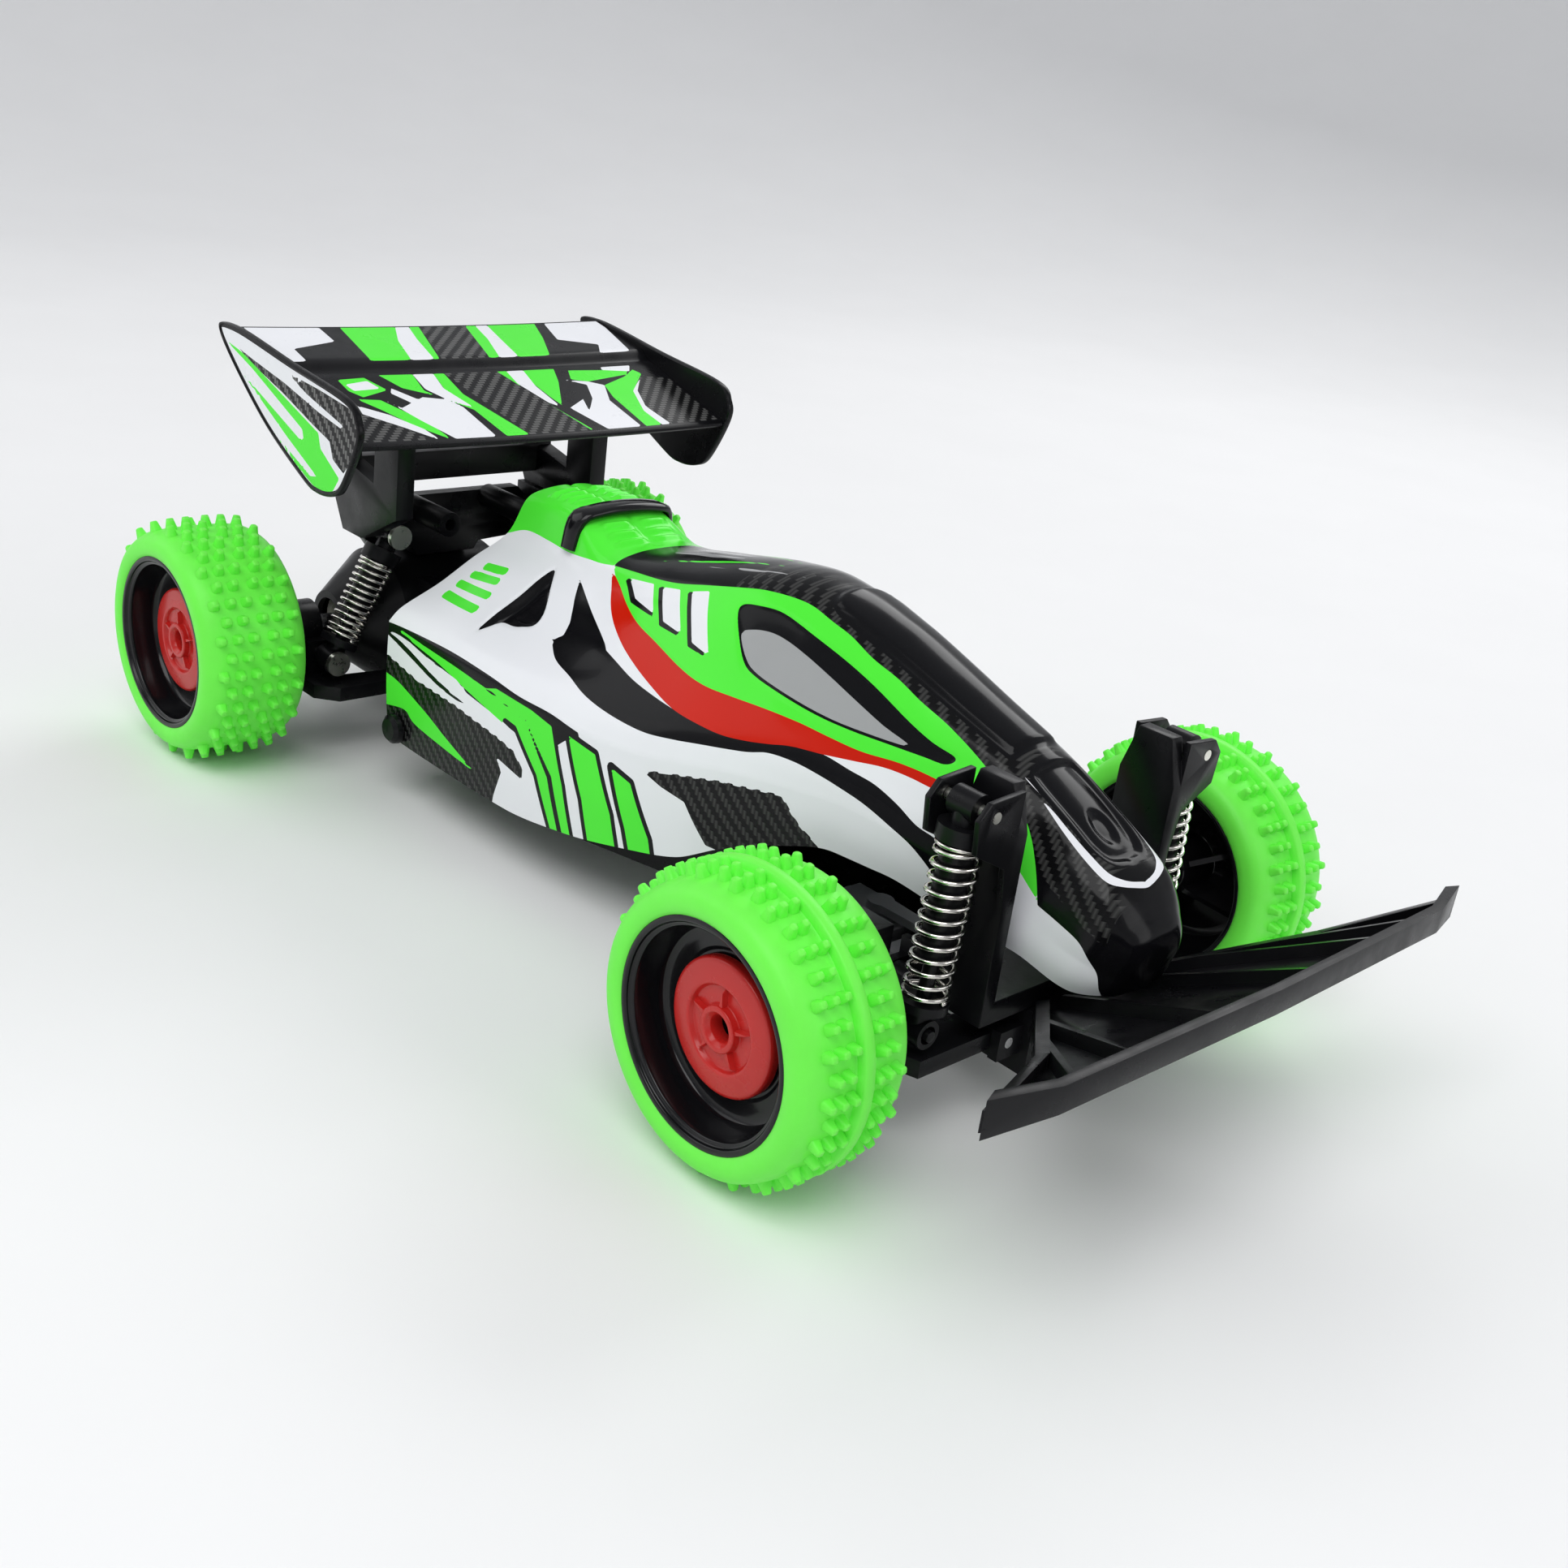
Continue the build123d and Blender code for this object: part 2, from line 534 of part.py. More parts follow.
# ---------------------------------------------------------------- suspension arms
def make_front_arm():
    """Lower wishbone with a C-shaped carrier for the steering knuckle and a post for the shock."""
    low_y, low_z = FRONT_LOW
    with BuildPart() as arm:
        slab_xy(
            [(104.2, PIVOT_Y), (112.0, PIVOT_Y), (115.0, 44.0), (127.0, 44.0), (131.0, PIVOT_Y),
             (141.8, PIVOT_Y), (141.8, 50.0), (128.0, 55.0), (126.0, 63.0), (113.0, 63.0),
             (104.2, 46.0)],
            ARM_Z0, ARM_Z1,
        )
        for x0, x1 in ((104.2, 112.0), (131.0, 141.8)):
            bar_x(4.0, x0, x1, PIVOT_Y, PIVOT_Z)
        # C carrier: upright web, upper eye and lower eye.
        block(114.0, 125.0, 48.5, 52.0, ARM_Z0, 57.0)
        block(114.0, 125.0, 48.5, KING_Y, 52.5, 57.0)
        bar_z(5.5, 52.5, 57.0, FRONT_X, KING_Y)
        bar_z(6.5, ARM_Z0, ARM_Z1, FRONT_X, KING_Y)
        # Shock post with a moulded pin.
        block(127.5, 131.9, low_y - 4.5, low_y + 4.5, ARM_Z0, low_z + 4.0)
        bar_x(PIN_R, 131.0, 141.5, low_y, low_z)
        for x0, x1 in ((103.0, 113.0), (130.0, 143.0)):
            bar_x(PIN_R + RUN, x0, x1, PIVOT_Y, PIVOT_Z, Mode.SUBTRACT)
        bar_z(2.0 + RUN, ARM_Z0 - 1, 58.0, FRONT_X, KING_Y, Mode.SUBTRACT)
    save_pair(arm.part, "front_arm")


def make_knuckle():
    """Steering knuckle: upright with king-pin stubs, wheel spindle and a steering arm with its ball pin."""
    axle_z = FRONT_TIP_R
    with BuildPart() as knuckle:
        bar_z(5.4, 27.4, 52.1, FRONT_X, KING_Y)
        bar_z(2.0, ARM_Z0 + 0.2, 56.8, FRONT_X, KING_Y)
        bar_y(6.0, KING_Y, 74.0, FRONT_X, axle_z)
        bar_y(SPINDLE_R, 74.0, 93.4, FRONT_X, axle_z)
        slab_xy([(LINK_X - 3.0, KING_Y - 3.0), (FRONT_X, KING_Y - 4.0), (FRONT_X, KING_Y + 4.0),
                 (LINK_X - 3.0, KING_Y + 3.0)], 29.0, 33.0)
        bar_z(PIN_R, 21.5, 30.0, LINK_X, KING_Y)
    save_pair(knuckle.part, "knuckle")


def make_rear_arm():
    """Rear wishbone with the hub carrier tube and the post for the shock screw."""
    low_y, low_z = REAR_LOW
    with BuildPart() as arm:
        slab_xy(
            [(-194.8, PIVOT_Y), (-186.2, PIVOT_Y), (-183.0, 46.5), (-146.0, 46.5), (-143.0, PIVOT_Y),
             (-134.2, PIVOT_Y), (-134.2, 52.0), (-141.0, 58.5), (-188.0, 58.5), (-194.8, 52.0)],
            ARM_Z0, ARM_Z1,
        )
        for x0, x1 in ((-194.8, -186.2), (-143.0, -134.2)):
            bar_x(4.0, x0, x1, PIVOT_Y, PIVOT_Z)
        # Hub carrier.
        block(-171.5, -157.5, 48.0, 58.5, ARM_Z0, REAR_TIP_R)
        bar_y(8.6, 47.0, 80.0, REAR_X, REAR_TIP_R)
        # Shock post behind the lower eye.
        block(-156.5, -152.4, low_y - 4.8, low_y + 4.8, ARM_Z0, low_z + 4.5)
        for x0, x1 in ((-196.0, -185.0), (-144.0, -133.0)):
            bar_x(PIN_R + RUN, x0, x1, PIVOT_Y, PIVOT_Z, Mode.SUBTRACT)
        bar_x(PIN_R + 0.02, -157.0, -151.0, low_y, low_z, Mode.SUBTRACT)
        bar_y(SPINDLE_R + RUN, 46.0, 81.0, REAR_X, REAR_TIP_R, Mode.SUBTRACT)
    save_pair(arm.part, "rear_arm")
    with BuildPart() as screw:
        bar_x(PIN_R, -156.5, -141.2, low_y, low_z)
        bar_x(4.2, -141.2, -139.2, low_y, low_z)
    save_pair(screw.part, "rear_shock_screw")


# ---------------------------------------------------------------- shocks
def shock_plane(x, top, low):
    """Plane at the upper eye whose Z runs down the shock, and the distance between the eyes."""
    length = hypot(low[0] - top[0], low[1] - top[1])
    direction = (0, (low[0] - top[0]) / length, (low[1] - top[1]) / length)
    return Plane(origin=(x, top[0], top[1]), x_dir=(1, 0, 0), z_dir=direction), length


def along(plane, radius, s0, s1, mode=Mode.ADD):
    with BuildSketch(plane.offset(s0)) as ring:
        Circle(radius)
    extrude(ring.sketch, amount=s1 - s0, mode=mode)


def make_shock(x, top, low, cap, spring_end, damper_end, eye_r, cap_r, name):
    """Damper body with its cap, plunger rod with its collar, and the spring between them."""
    plane, length = shock_plane(x, top, low)
    with BuildPart() as body:
        bar_x(eye_r, x - 4.0, x + 4.0, top[0], top[1])
        along(plane, 3.6, 0, cap[0] + 0.5)
        along(plane, cap_r, cap[0], cap[1])
        along(plane, 4.4, cap[1] - 0.5, damper_end)
        along(plane, 2.08, cap[1] + 2.0, damper_end + 1.0, Mode.SUBTRACT)
        bar_x(PIN_R + RUN, x - 5.0, x + 5.0, top[0], top[1], Mode.SUBTRACT)
    save_pair(body.part, f"{name}_body")
    with BuildPart() as rod:
        along(plane, 2.0, damper_end - 12.0, length - 4.0)
        along(plane, cap_r, spring_end, spring_end + 2.4)
        along(plane, 3.4, spring_end, length - 1.5)
        bar_x(eye_r, x - 4.0, x + 4.0, low[0], low[1])
        bar_x(2.5, x - 5.0, x + 5.0, low[0], low[1], Mode.SUBTRACT)
    save_pair(rod.part, f"{name}_rod")
    with BuildPart() as spring:
        along(plane, cap_r - 0.3, cap[1], spring_end)
        along(plane, cap_r - 1.7, cap[1] - 1.0, spring_end + 1.0, Mode.SUBTRACT)
    save_pair(spring.part, f"{name}_spring")


# ---------------------------------------------------------------- steering
def make_steering():
    """Servo, its horn, the sliding centre link and the two tie rods."""
    with BuildPart() as servo:
        block(62.0, 84.5, -8.0, 8.0, FLOOR_Z + WALL, 26.0)
        block(58.5, 85.5, -8.0, 8.0, 22.0, 23.6)
        bar_z(3.0, 26.0, 26.9, 78.0, 0)
    save(servo.part, "steering_servo")
    with BuildPart() as horn:
        bar_z(4.0, 27.4, 29.9, 78.0, 0)
        slab_xy([(78.0, -3.0), (LINK_X, -2.2), (LINK_X, 2.2), (78.0, 3.0)], 27.4, 29.9)
        bar_z(2.2, 27.4, 29.9, LINK_X, 0)
        bar_z(1.5, 23.0, 28.0, LINK_X, 0)
    save(horn.part, "servo_horn")
    with BuildPart() as link:
        block(LINK_X - 3.0, LINK_X + 3.0, -15.5, 15.5, 22.0, 26.8)
        # Slot that lets the horn pin swing, and the forked ends that hold the tie rods.
        block(LINK_X - 4.0, LINK_X + 4.0, -1.9, 1.9, 22.5, 28.0, Mode.SUBTRACT)
        for side in (-1, 1):
            y0, y1 = sorted((side * 15.0, side * (PIVOT_Y + 2.5)))
            for x0 in (LINK_X - 3.0, LINK_X + 1.9):
                block(x0, x0 + 1.1, y0, y1, 22.0, 26.8)
            bar_x(1.0, LINK_X - 3.0, LINK_X + 3.0, side * PIVOT_Y, PIVOT_Z)
    save(link.part, "centre_link")
    with BuildPart() as tie:
        bar_x(2.3, LINK_X - 1.5, LINK_X + 1.5, PIVOT_Y, PIVOT_Z)
        block(LINK_X - 1.5, LINK_X + 1.5, PIVOT_Y, KING_Y - 4.0, 23.0, 26.0)
        slab_xy([(LINK_X - 2.0, KING_Y - 5.0), (LINK_X + 5.5, KING_Y - 5.0), (LINK_X + 5.5, KING_Y + 4.0),
                 (LINK_X - 4.5, KING_Y + 4.0), (LINK_X - 4.5, KING_Y - 4.0)], 23.0, 26.0)
        block(LINK_X - 2.6, LINK_X + 3.8, KING_Y - 2.1, KING_Y + 2.1, 22.0, 27.0, Mode.SUBTRACT)
        bar_x(1.0 + RUN, LINK_X - 2.0, LINK_X + 2.0, PIVOT_Y, PIVOT_Z, Mode.SUBTRACT)
    save_pair(tie.part, "tie_rod")


# ---------------------------------------------------------------- rear drive
def gear_sketch(teeth, phase):
    """Simple tapered teeth with backlash: points of one closed outline, centred on the origin."""
    pitch_r = MODULE * teeth / 2
    root_r, tip_r = pitch_r - 1.2 * MODULE, pitch_r + 0.7 * MODULE
    step = 2 * pi / teeth
    points = []
    for index in range(teeth):
        middle = phase + index * step
        for radius, share in ((root_r, -0.24), (tip_r, -0.05), (tip_r, 0.05), (root_r, 0.24)):
            points.append((radius * cos(middle + share * step), radius * sin(middle + share * step)))
    return points


def gear_y(teeth, phase, x, y0, y1):
    """Spur gear about the Y axis through (x, axle height)."""
    slab_xz([(x + u, REAR_TIP_R + w) for u, w in gear_sketch(teeth, phase)], y0, y1)


def make_drive_gears():
    step = 2 * pi / DRIVE_TEETH
    with BuildPart() as drive:
        gear_y(DRIVE_TEETH, 0.5 * step, REAR_X, -4.5, 0.5)
        bar_y(5.2, -22.0, 22.0, REAR_X, REAR_TIP_R)
        for side in (-1, 1):
            y0, y1 = sorted((side * 22.0, side * 36.0))
            bar_y(8.0, y0, y1, REAR_X, REAR_TIP_R)
            y0, y1 = sorted((side * 25.5, side * 37.0))
            bar_y(5.7, y0, y1, REAR_X, REAR_TIP_R, Mode.SUBTRACT)
    save(drive.part, "drive_gear")
    with BuildPart() as idler:
        # A tooth of the small idler points back at a gap of the drive gear.
        gear_y(IDLER_SMALL, pi, IDLER_X, -5.0, 0.8)
        gear_y(IDLER_LARGE, 0.5 * 2 * pi / IDLER_LARGE, IDLER_X, -11.0, -6.0)
        bar_y(2.0, -14.5, 2.4, IDLER_X, REAR_TIP_R)
        bar_y(3.4, -12.5, 0.8, IDLER_X, REAR_TIP_R)
    save(idler.part, "idler_gear")
    with BuildPart() as pinion:
        gear_y(PINION_TEETH, pi, MOTOR_X, -10.5, -6.5)
        bar_y(1.2, -12.0, 4.2, MOTOR_X, REAR_TIP_R)
    save(pinion.part, "motor_pinion")


def make_motor():
    with BuildPart() as motor:
        bar_y(13.8, 5.0, 33.0, MOTOR_X, REAR_TIP_R)
        bar_y(5.0, 3.2, 5.0, MOTOR_X, REAR_TIP_R)
        bar_y(4.0, 33.0, 35.0, MOTOR_X, REAR_TIP_R)
        bar_y(1.2 + RUN, 3.0, 8.0, MOTOR_X, REAR_TIP_R, Mode.SUBTRACT)
        block(MOTOR_X - 20, MOTOR_X + 20, 4.0, 36.0, REAR_TIP_R - 20, REAR_TIP_R - 11.6, Mode.SUBTRACT)
        block(MOTOR_X - 20, MOTOR_X + 20, 4.0, 36.0, REAR_TIP_R + 11.6, REAR_TIP_R + 20, Mode.SUBTRACT)
    save(motor.part, "motor")


def make_gearbox():
    """Two-part round gearbox; the right half has a nose that covers the idler and the pinion."""
    wall = 2.0
    split_y = 3.0
    shoulder_y, mouth_y, mouth_r, bore_r = 22.0, 40.0, 10.5, 8.0
    inner_r = HOUSING_R - wall
    for side, name in ((1, "gearbox_left"), (-1, "gearbox_right")):
        start = split_y + 0.02 * side
        with BuildPart() as half:
            turned_y([(start, 0), (start, HOUSING_R), (side * shoulder_y, HOUSING_R),
                      (side * mouth_y, mouth_r), (side * mouth_y, 0)], REAR_X, REAR_TIP_R)
            if side == -1:
                slab_xz([(IDLER_X - 4, REAR_TIP_R - 18.3), (IDLER_X + 5, REAR_TIP_R - 18.3),
                         (MOTOR_X + 8, REAR_TIP_R - 9), (MOTOR_X + 8, REAR_TIP_R + 9),
                         (IDLER_X + 5, REAR_TIP_R + 18.3), (IDLER_X - 4, REAR_TIP_R + 18.3)], -15.0, 2.9)
            turned_y([(start - side, 0), (start - side, inner_r), (side * (shoulder_y - 0.7), inner_r),
                      (side * (mouth_y - 2.0), mouth_r - 0.6), (side * (mouth_y - 2.0), 0)],
                     REAR_X, REAR_TIP_R, Mode.SUBTRACT)
            if side == -1:
                bar_y(16.3, -13.0, 1.2, IDLER_X, REAR_TIP_R, Mode.SUBTRACT)
                bar_y(6.5, -13.0, -4.0, MOTOR_X, REAR_TIP_R, Mode.SUBTRACT)
                bar_y(1.5, -14.0, 4.0, MOTOR_X, REAR_TIP_R, Mode.SUBTRACT)
                bar_y(2.0 + RUN, -16.0, 3.5, IDLER_X, REAR_TIP_R, Mode.SUBTRACT)
            y0, y1 = sorted((side * (mouth_y - 3.0), side * (mouth_y + 1.0)))
            bar_y(bore_r, y0, y1, REAR_X, REAR_TIP_R, Mode.SUBTRACT)
        save(half.part, name)


def make_drive_shaft():
    """Half shaft with a ball end that sits loosely in the drive cup."""
    with BuildPart() as shaft:
        bar_y(SPINDLE_R - 0.6, 31.0, 47.0, REAR_X, REAR_TIP_R)
        bar_y(SPINDLE_R, 46.0, 88.9, REAR_X, REAR_TIP_R)
        with Locations((REAR_X, 32.0, REAR_TIP_R)):
            Sphere(3.3)
    save_pair(shaft.part, "drive_shaft")


# ---------------------------------------------------------------- build everything
def main():
    make_tyre(FRONT_X, FRONT_TIP_R, FRONT_IN, FRONT_OUT, "front_tyre")
    make_tyre(REAR_X, REAR_TIP_R, REAR_IN, REAR_OUT, "rear_tyre")
    make_rim(FRONT_X, FRONT_TIP_R, FRONT_IN, FRONT_OUT, 93.9, 76.0, SPINDLE_R + RUN, "front_rim")
    make_rim(REAR_X, REAR_TIP_R, REAR_IN, REAR_OUT, 91.5, 80.6, SPINDLE_R + 0.02, "rear_rim")
    make_hub_disc(FRONT_X, FRONT_TIP_R, 93.9, "front_hub_disc")
    make_hub_disc(REAR_X, REAR_TIP_R, 91.5, "rear_hub_disc")
    make_chassis_tub()
    make_battery_door()
    make_power_switch()
    make_battery_pack()
    make_circuit_board()
    make_shell_pegs()
    make_hinge_pins()
    make_body_shell()
    make_rear_wing()
    make_wing_support()
    make_front_bumper()
    make_front_tower()
    make_rear_tower()
    make_shock_top_screws()
    make_front_arm()
    make_knuckle()
    make_rear_arm()
    make_shock(FRONT_SHOCK_X, FRONT_TOP, FRONT_LOW, (5.0, 9.0), 51.5, 40.0, 3.9, 6.6, "front_shock")
    make_shock(REAR_SHOCK_X, REAR_TOP, REAR_LOW, (6.0, 10.6), 40.5, 30.0, 4.4, 6.6, "rear_shock")
    make_steering()
    make_drive_gears()
    make_motor()
    make_gearbox()
    make_drive_shaft()


main()
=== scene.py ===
"""Blender scene of an off-road toy buggy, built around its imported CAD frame.

Lengths in this file are millimetres in the frame's axes: +X nose, +Y left, +Z up.
They turn into metres where a mesh is made.
"""
import json
from math import cos, pi, radians, sin

import bmesh
import bpy
import numpy as np
from mathutils import Matrix, Vector


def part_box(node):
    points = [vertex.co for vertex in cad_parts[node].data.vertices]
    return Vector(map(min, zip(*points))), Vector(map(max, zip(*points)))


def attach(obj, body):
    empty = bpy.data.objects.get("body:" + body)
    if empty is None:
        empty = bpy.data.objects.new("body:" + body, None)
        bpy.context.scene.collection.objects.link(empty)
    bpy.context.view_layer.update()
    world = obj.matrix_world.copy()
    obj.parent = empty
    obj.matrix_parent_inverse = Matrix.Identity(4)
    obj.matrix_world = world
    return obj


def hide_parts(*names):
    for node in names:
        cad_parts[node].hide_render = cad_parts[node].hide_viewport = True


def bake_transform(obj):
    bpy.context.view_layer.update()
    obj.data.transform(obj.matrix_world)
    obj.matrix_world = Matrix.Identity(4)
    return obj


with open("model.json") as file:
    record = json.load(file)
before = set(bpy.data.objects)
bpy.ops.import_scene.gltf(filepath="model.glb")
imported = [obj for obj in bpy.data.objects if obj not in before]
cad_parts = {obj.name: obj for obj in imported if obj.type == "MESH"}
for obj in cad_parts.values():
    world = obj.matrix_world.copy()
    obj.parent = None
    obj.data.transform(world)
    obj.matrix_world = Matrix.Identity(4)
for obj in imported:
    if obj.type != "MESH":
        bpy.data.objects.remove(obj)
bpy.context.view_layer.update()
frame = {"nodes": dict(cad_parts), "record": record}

MM = 0.001
SIDES = (("left", 1), ("right", -1))
NODE_BODY = {node: body for body, nodes in frame["record"]["behaviour"]["bodies"].items() for node in nodes}
NODE_SLOT = {row["node"]: row["material_slot"] for row in frame["record"]["subparts"]}

# Colours, linear.
WHITE = (0.83, 0.84, 0.87)
GREEN = (0.085, 0.86, 0.045)
RED = (0.58, 0.012, 0.002)
BLACK = (0.004, 0.004, 0.005)
GREY = (0.36, 0.365, 0.37)
TYRE_GREEN = (0.16, 0.93, 0.07)


# ------------------------------------------------------------------ mesh helpers

def make_object(name, points, faces):
    """A mesh object from points in mm and lists of corner numbers."""
    mesh = bpy.data.meshes.new(name)
    mesh.from_pydata([tuple(p) for p in np.asarray(points, float) * MM], [], faces)
    mesh.update()
    item = bpy.data.objects.new(name, mesh)
    bpy.context.scene.collection.objects.link(item)
    return item


def finish_piece(item, material, body, replaces, degrees):
    """Gives a piece its material, shading and body, and hides the CAD nodes that it stands for."""
    item.data.materials.clear()
    item.data.materials.append(material)
    item.data.shade_smooth()
    item.data.set_sharp_from_angle(angle=radians(degrees))
    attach(item, body)
    if replaces:
        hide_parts(*replaces)


ANY_WAY = (0.31, 0.17, 0.93)    # a direction that no tube starts along


class Build:
    """Collects points and faces of one piece."""

    def __init__(self):
        self.points = []
        self.faces = []

    def add(self, points, faces):
        start = len(self.points)
        self.points.extend(np.asarray(points, float).reshape(-1, 3))
        self.faces.extend([tuple(start + i for i in face) for face in faces])

    def grid(self, rows, close_rows=False, close_columns=False):
        rows = np.asarray(rows, float)
        n, m = rows.shape[:2]
        faces = []
        for i in range(n if close_rows else n - 1):
            for j in range(m if close_columns else m - 1):
                a, b = i * m + j, i * m + (j + 1) % m
                c, d = (i + 1) % n * m + (j + 1) % m, (i + 1) % n * m + j
                faces.append((a, b, c, d))
        self.add(rows.reshape(-1, 3), faces)

    def cap(self, ring, flip=False):
        order = range(len(ring))
        self.add(ring, [tuple(reversed(order)) if flip else tuple(order)])

    def tube(self, path, radius, sides):
        """A round tube along a list of points, closed at both ends."""
        path = np.asarray(path, float)
        rings = []
        tangents = np.gradient(path, axis=0)
        side = np.cross(tangents[0], ANY_WAY)
        for point, tangent in zip(path, tangents):
            tangent = tangent / np.linalg.norm(tangent)
            side = side - tangent * np.dot(side, tangent)
            side = side / np.linalg.norm(side)
            other = np.cross(tangent, side)
            rings.append([point + radius * (cos(a) * side + sin(a) * other)
                          for a in np.arange(sides) * 2 * pi / sides])
        self.grid(rings, close_columns=True)
        self.cap(rings[0], flip=True)
        self.cap(rings[-1])

    def make(self, name):
        item = make_object(name, self.points, self.faces)
        weld(item)
        return item


def weld(item, distance=0.0005):
    """Merges points that coincide and turns every face outward."""
    work = bmesh.new()
    work.from_mesh(item.data)
    bmesh.ops.remove_doubles(work, verts=work.verts, dist=distance * MM)
    bmesh.ops.recalc_face_normals(work, faces=work.faces)
    work.to_mesh(item.data)
    work.free()
    item.data.update()


def rounded(points, radii, steps):
    """An open outline with each corner rounded by its radius."""
    points = np.asarray(points, float)
    out = [points[0]]
    for k in range(1, len(points) - 1):
        before, corner, after = points[k - 1], points[k], points[k + 1]
        u, v = before - corner, after - corner
        lu, lv = np.linalg.norm(u), np.linalg.norm(v)
        reach = min(radii[k], 0.45 * lu, 0.45 * lv)
        a, b = corner + u / lu * reach, corner + v / lv * reach
        for t in np.linspace(0, 1, steps + 1):
            out.append((1 - t) ** 2 * a + 2 * t * (1 - t) * corner + t * t * b)
    out.append(points[-1])
    return np.array(out)


def spline(points, per=6, closed=False):
    """A smooth curve through all the points."""
    p = np.asarray(points, float)
    n = len(p)
    out = []
    for i in range(n if closed else n - 1):
        if closed:
            a, b, c, d = (p[(i + k) % n] for k in (-1, 0, 1, 2))
        else:
            b, c = p[i], p[i + 1]
            a = p[i - 1] if i else 2 * b - c
            d = p[i + 2] if i + 2 < n else 2 * c - b
        for t in np.arange(per) / per:
            out.append(0.5 * (2 * b + (c - a) * t + (2 * a - 5 * b + 4 * c - d) * t * t
                              + (3 * b - a - 3 * c + d) * t ** 3))
    if not closed:
        out.append(p[-1])
    return np.array(out)


def revolve(build, outline, centre_x, centre_z, side, segments, closed):
    """Turns an outline of (distance y from the middle, radius) about a wheel axis."""
    rows = []
    for y, r in outline:
        rows.append([(centre_x + r * cos(a), side * y, centre_z + r * sin(a))
                     for a in np.arange(segments) * 2 * pi / segments])
    build.grid(rows, close_rows=closed, close_columns=True)


# ------------------------------------------------------------------ material helpers

class Nodes:
    """A short way to write a node tree."""

    def __init__(self, name):
        self.material = bpy.data.materials.new(name)
        self.material.use_nodes = True
        self.tree = self.material.node_tree
        self.shader = self.tree.nodes["Principled BSDF"]

    def node(self, kind, **values):
        made = self.tree.nodes.new("ShaderNode" + kind)
        for key, value in values.items():
            setattr(made, key, value)
        return made

    def link(self, source, target):
        self.tree.links.new(source, target)

    def feed(self, target, value):
        if hasattr(value, "is_output"):
            self.link(value, target)
        else:
            target.default_value = value

    def math(self, operation, a, b=0.0, c=0.0):
        made = self.node("Math", operation=operation)
        for k, value in enumerate((a, b, c)):
            self.feed(made.inputs[k], value)
        return made.outputs[0]

    def mix(self, share, a, b):
        made = self.node("Mix", data_type="RGBA")
        self.feed(made.inputs["Factor"], share)
        for key, value in (("A", a), ("B", b)):
            socket = [s for s in made.inputs if s.name == key and s.type == "RGBA"][0]
            self.feed(socket, (*value, 1.0) if isinstance(value, tuple) else value)
        return [s for s in made.outputs if s.type == "RGBA"][0]

    def place(self):
        return self.node("TexCoord").outputs["Object"]

    def axes(self):
        split = self.node("SeparateXYZ")
        self.link(self.place(), split.inputs[0])
        return split.outputs

    def noise(self, scale, detail=3.0, rough=0.55):
        made = self.node("TexNoise")
        self.link(self.place(), made.inputs["Vector"])
        made.inputs["Scale"].default_value = scale
        made.inputs["Detail"].default_value = detail
        made.inputs["Roughness"].default_value = rough
        return made.outputs["Fac"]

    def attribute(self, name):
        return self.node("Attribute", attribute_name=name).outputs["Fac"]

    def spread(self, value, low, high):
        made = self.node("MapRange")
        self.feed(made.inputs["Value"], value)
        made.inputs["To Min"].default_value = low
        made.inputs["To Max"].default_value = high
        made.inputs["From Min"].default_value = 0.3
        made.inputs["From Max"].default_value = 0.7
        return made.outputs["Result"]

    def bump(self, height, strength, distance):
        made = self.node("Bump")
        made.inputs["Strength"].default_value = strength
        made.inputs["Distance"].default_value = distance
        self.feed(made.inputs["Height"], height)
        self.link(made.outputs["Normal"], self.shader.inputs["Normal"])

    def set(self, **values):
        for key, value in values.items():
            self.feed(self.shader.inputs[key.replace("_", " ")], value)


def shade(colour, share):
    return tuple(min(1.0, c * share) for c in colour)


def moulded(name, colour, low, high, grain=900.0, depth=0.00006, strength=0.25, coat=0.0, gloss=0.35):
    """Moulded plastic: slight mottling, uneven gloss and a fine skin texture."""
    n = Nodes(name)
    n.set(Base_Color=n.mix(n.noise(38.0), shade(colour, 0.86), shade(colour, 1.14)))
    n.set(Roughness=n.spread(n.noise(120.0, 5.0), low, high))
    n.set(Specular_IOR_Level=gloss, Coat_Weight=coat, Coat_Roughness=0.06)
    n.bump(n.noise(grain, 2.0), strength, depth)
    return n.material


def metal(name, colour, low, high, grain=1400.0):
    n = Nodes(name)
    n.set(Base_Color=n.mix(n.noise(200.0), shade(colour, 0.88), shade(colour, 1.08)))
    n.set(Metallic=1.0, Roughness=n.spread(n.noise(420.0, 4.0), low, high))
    n.bump(n.noise(grain, 2.0), 0.15, 0.00003)
    return n.material


def rubber(name):
    """Soft glowing green rubber: light scatters a little way in."""
    n = Nodes(name)
    n.set(Base_Color=n.mix(n.noise(55.0, 4.0), shade(TYRE_GREEN, 0.9), shade(TYRE_GREEN, 1.08)))
    n.set(Roughness=n.spread(n.noise(260.0, 4.0), 0.42, 0.56))
    n.set(Subsurface_Weight=0.12, Subsurface_Radius=(0.6, 1.0, 0.5), Subsurface_Scale=0.0015)
    n.set(IOR=1.47)
    n.bump(n.noise(1300.0, 3.0), 0.3, 0.00008)
    return n.material


THREAD_ROUND = 1.6    # how fast a thread falls away from its middle


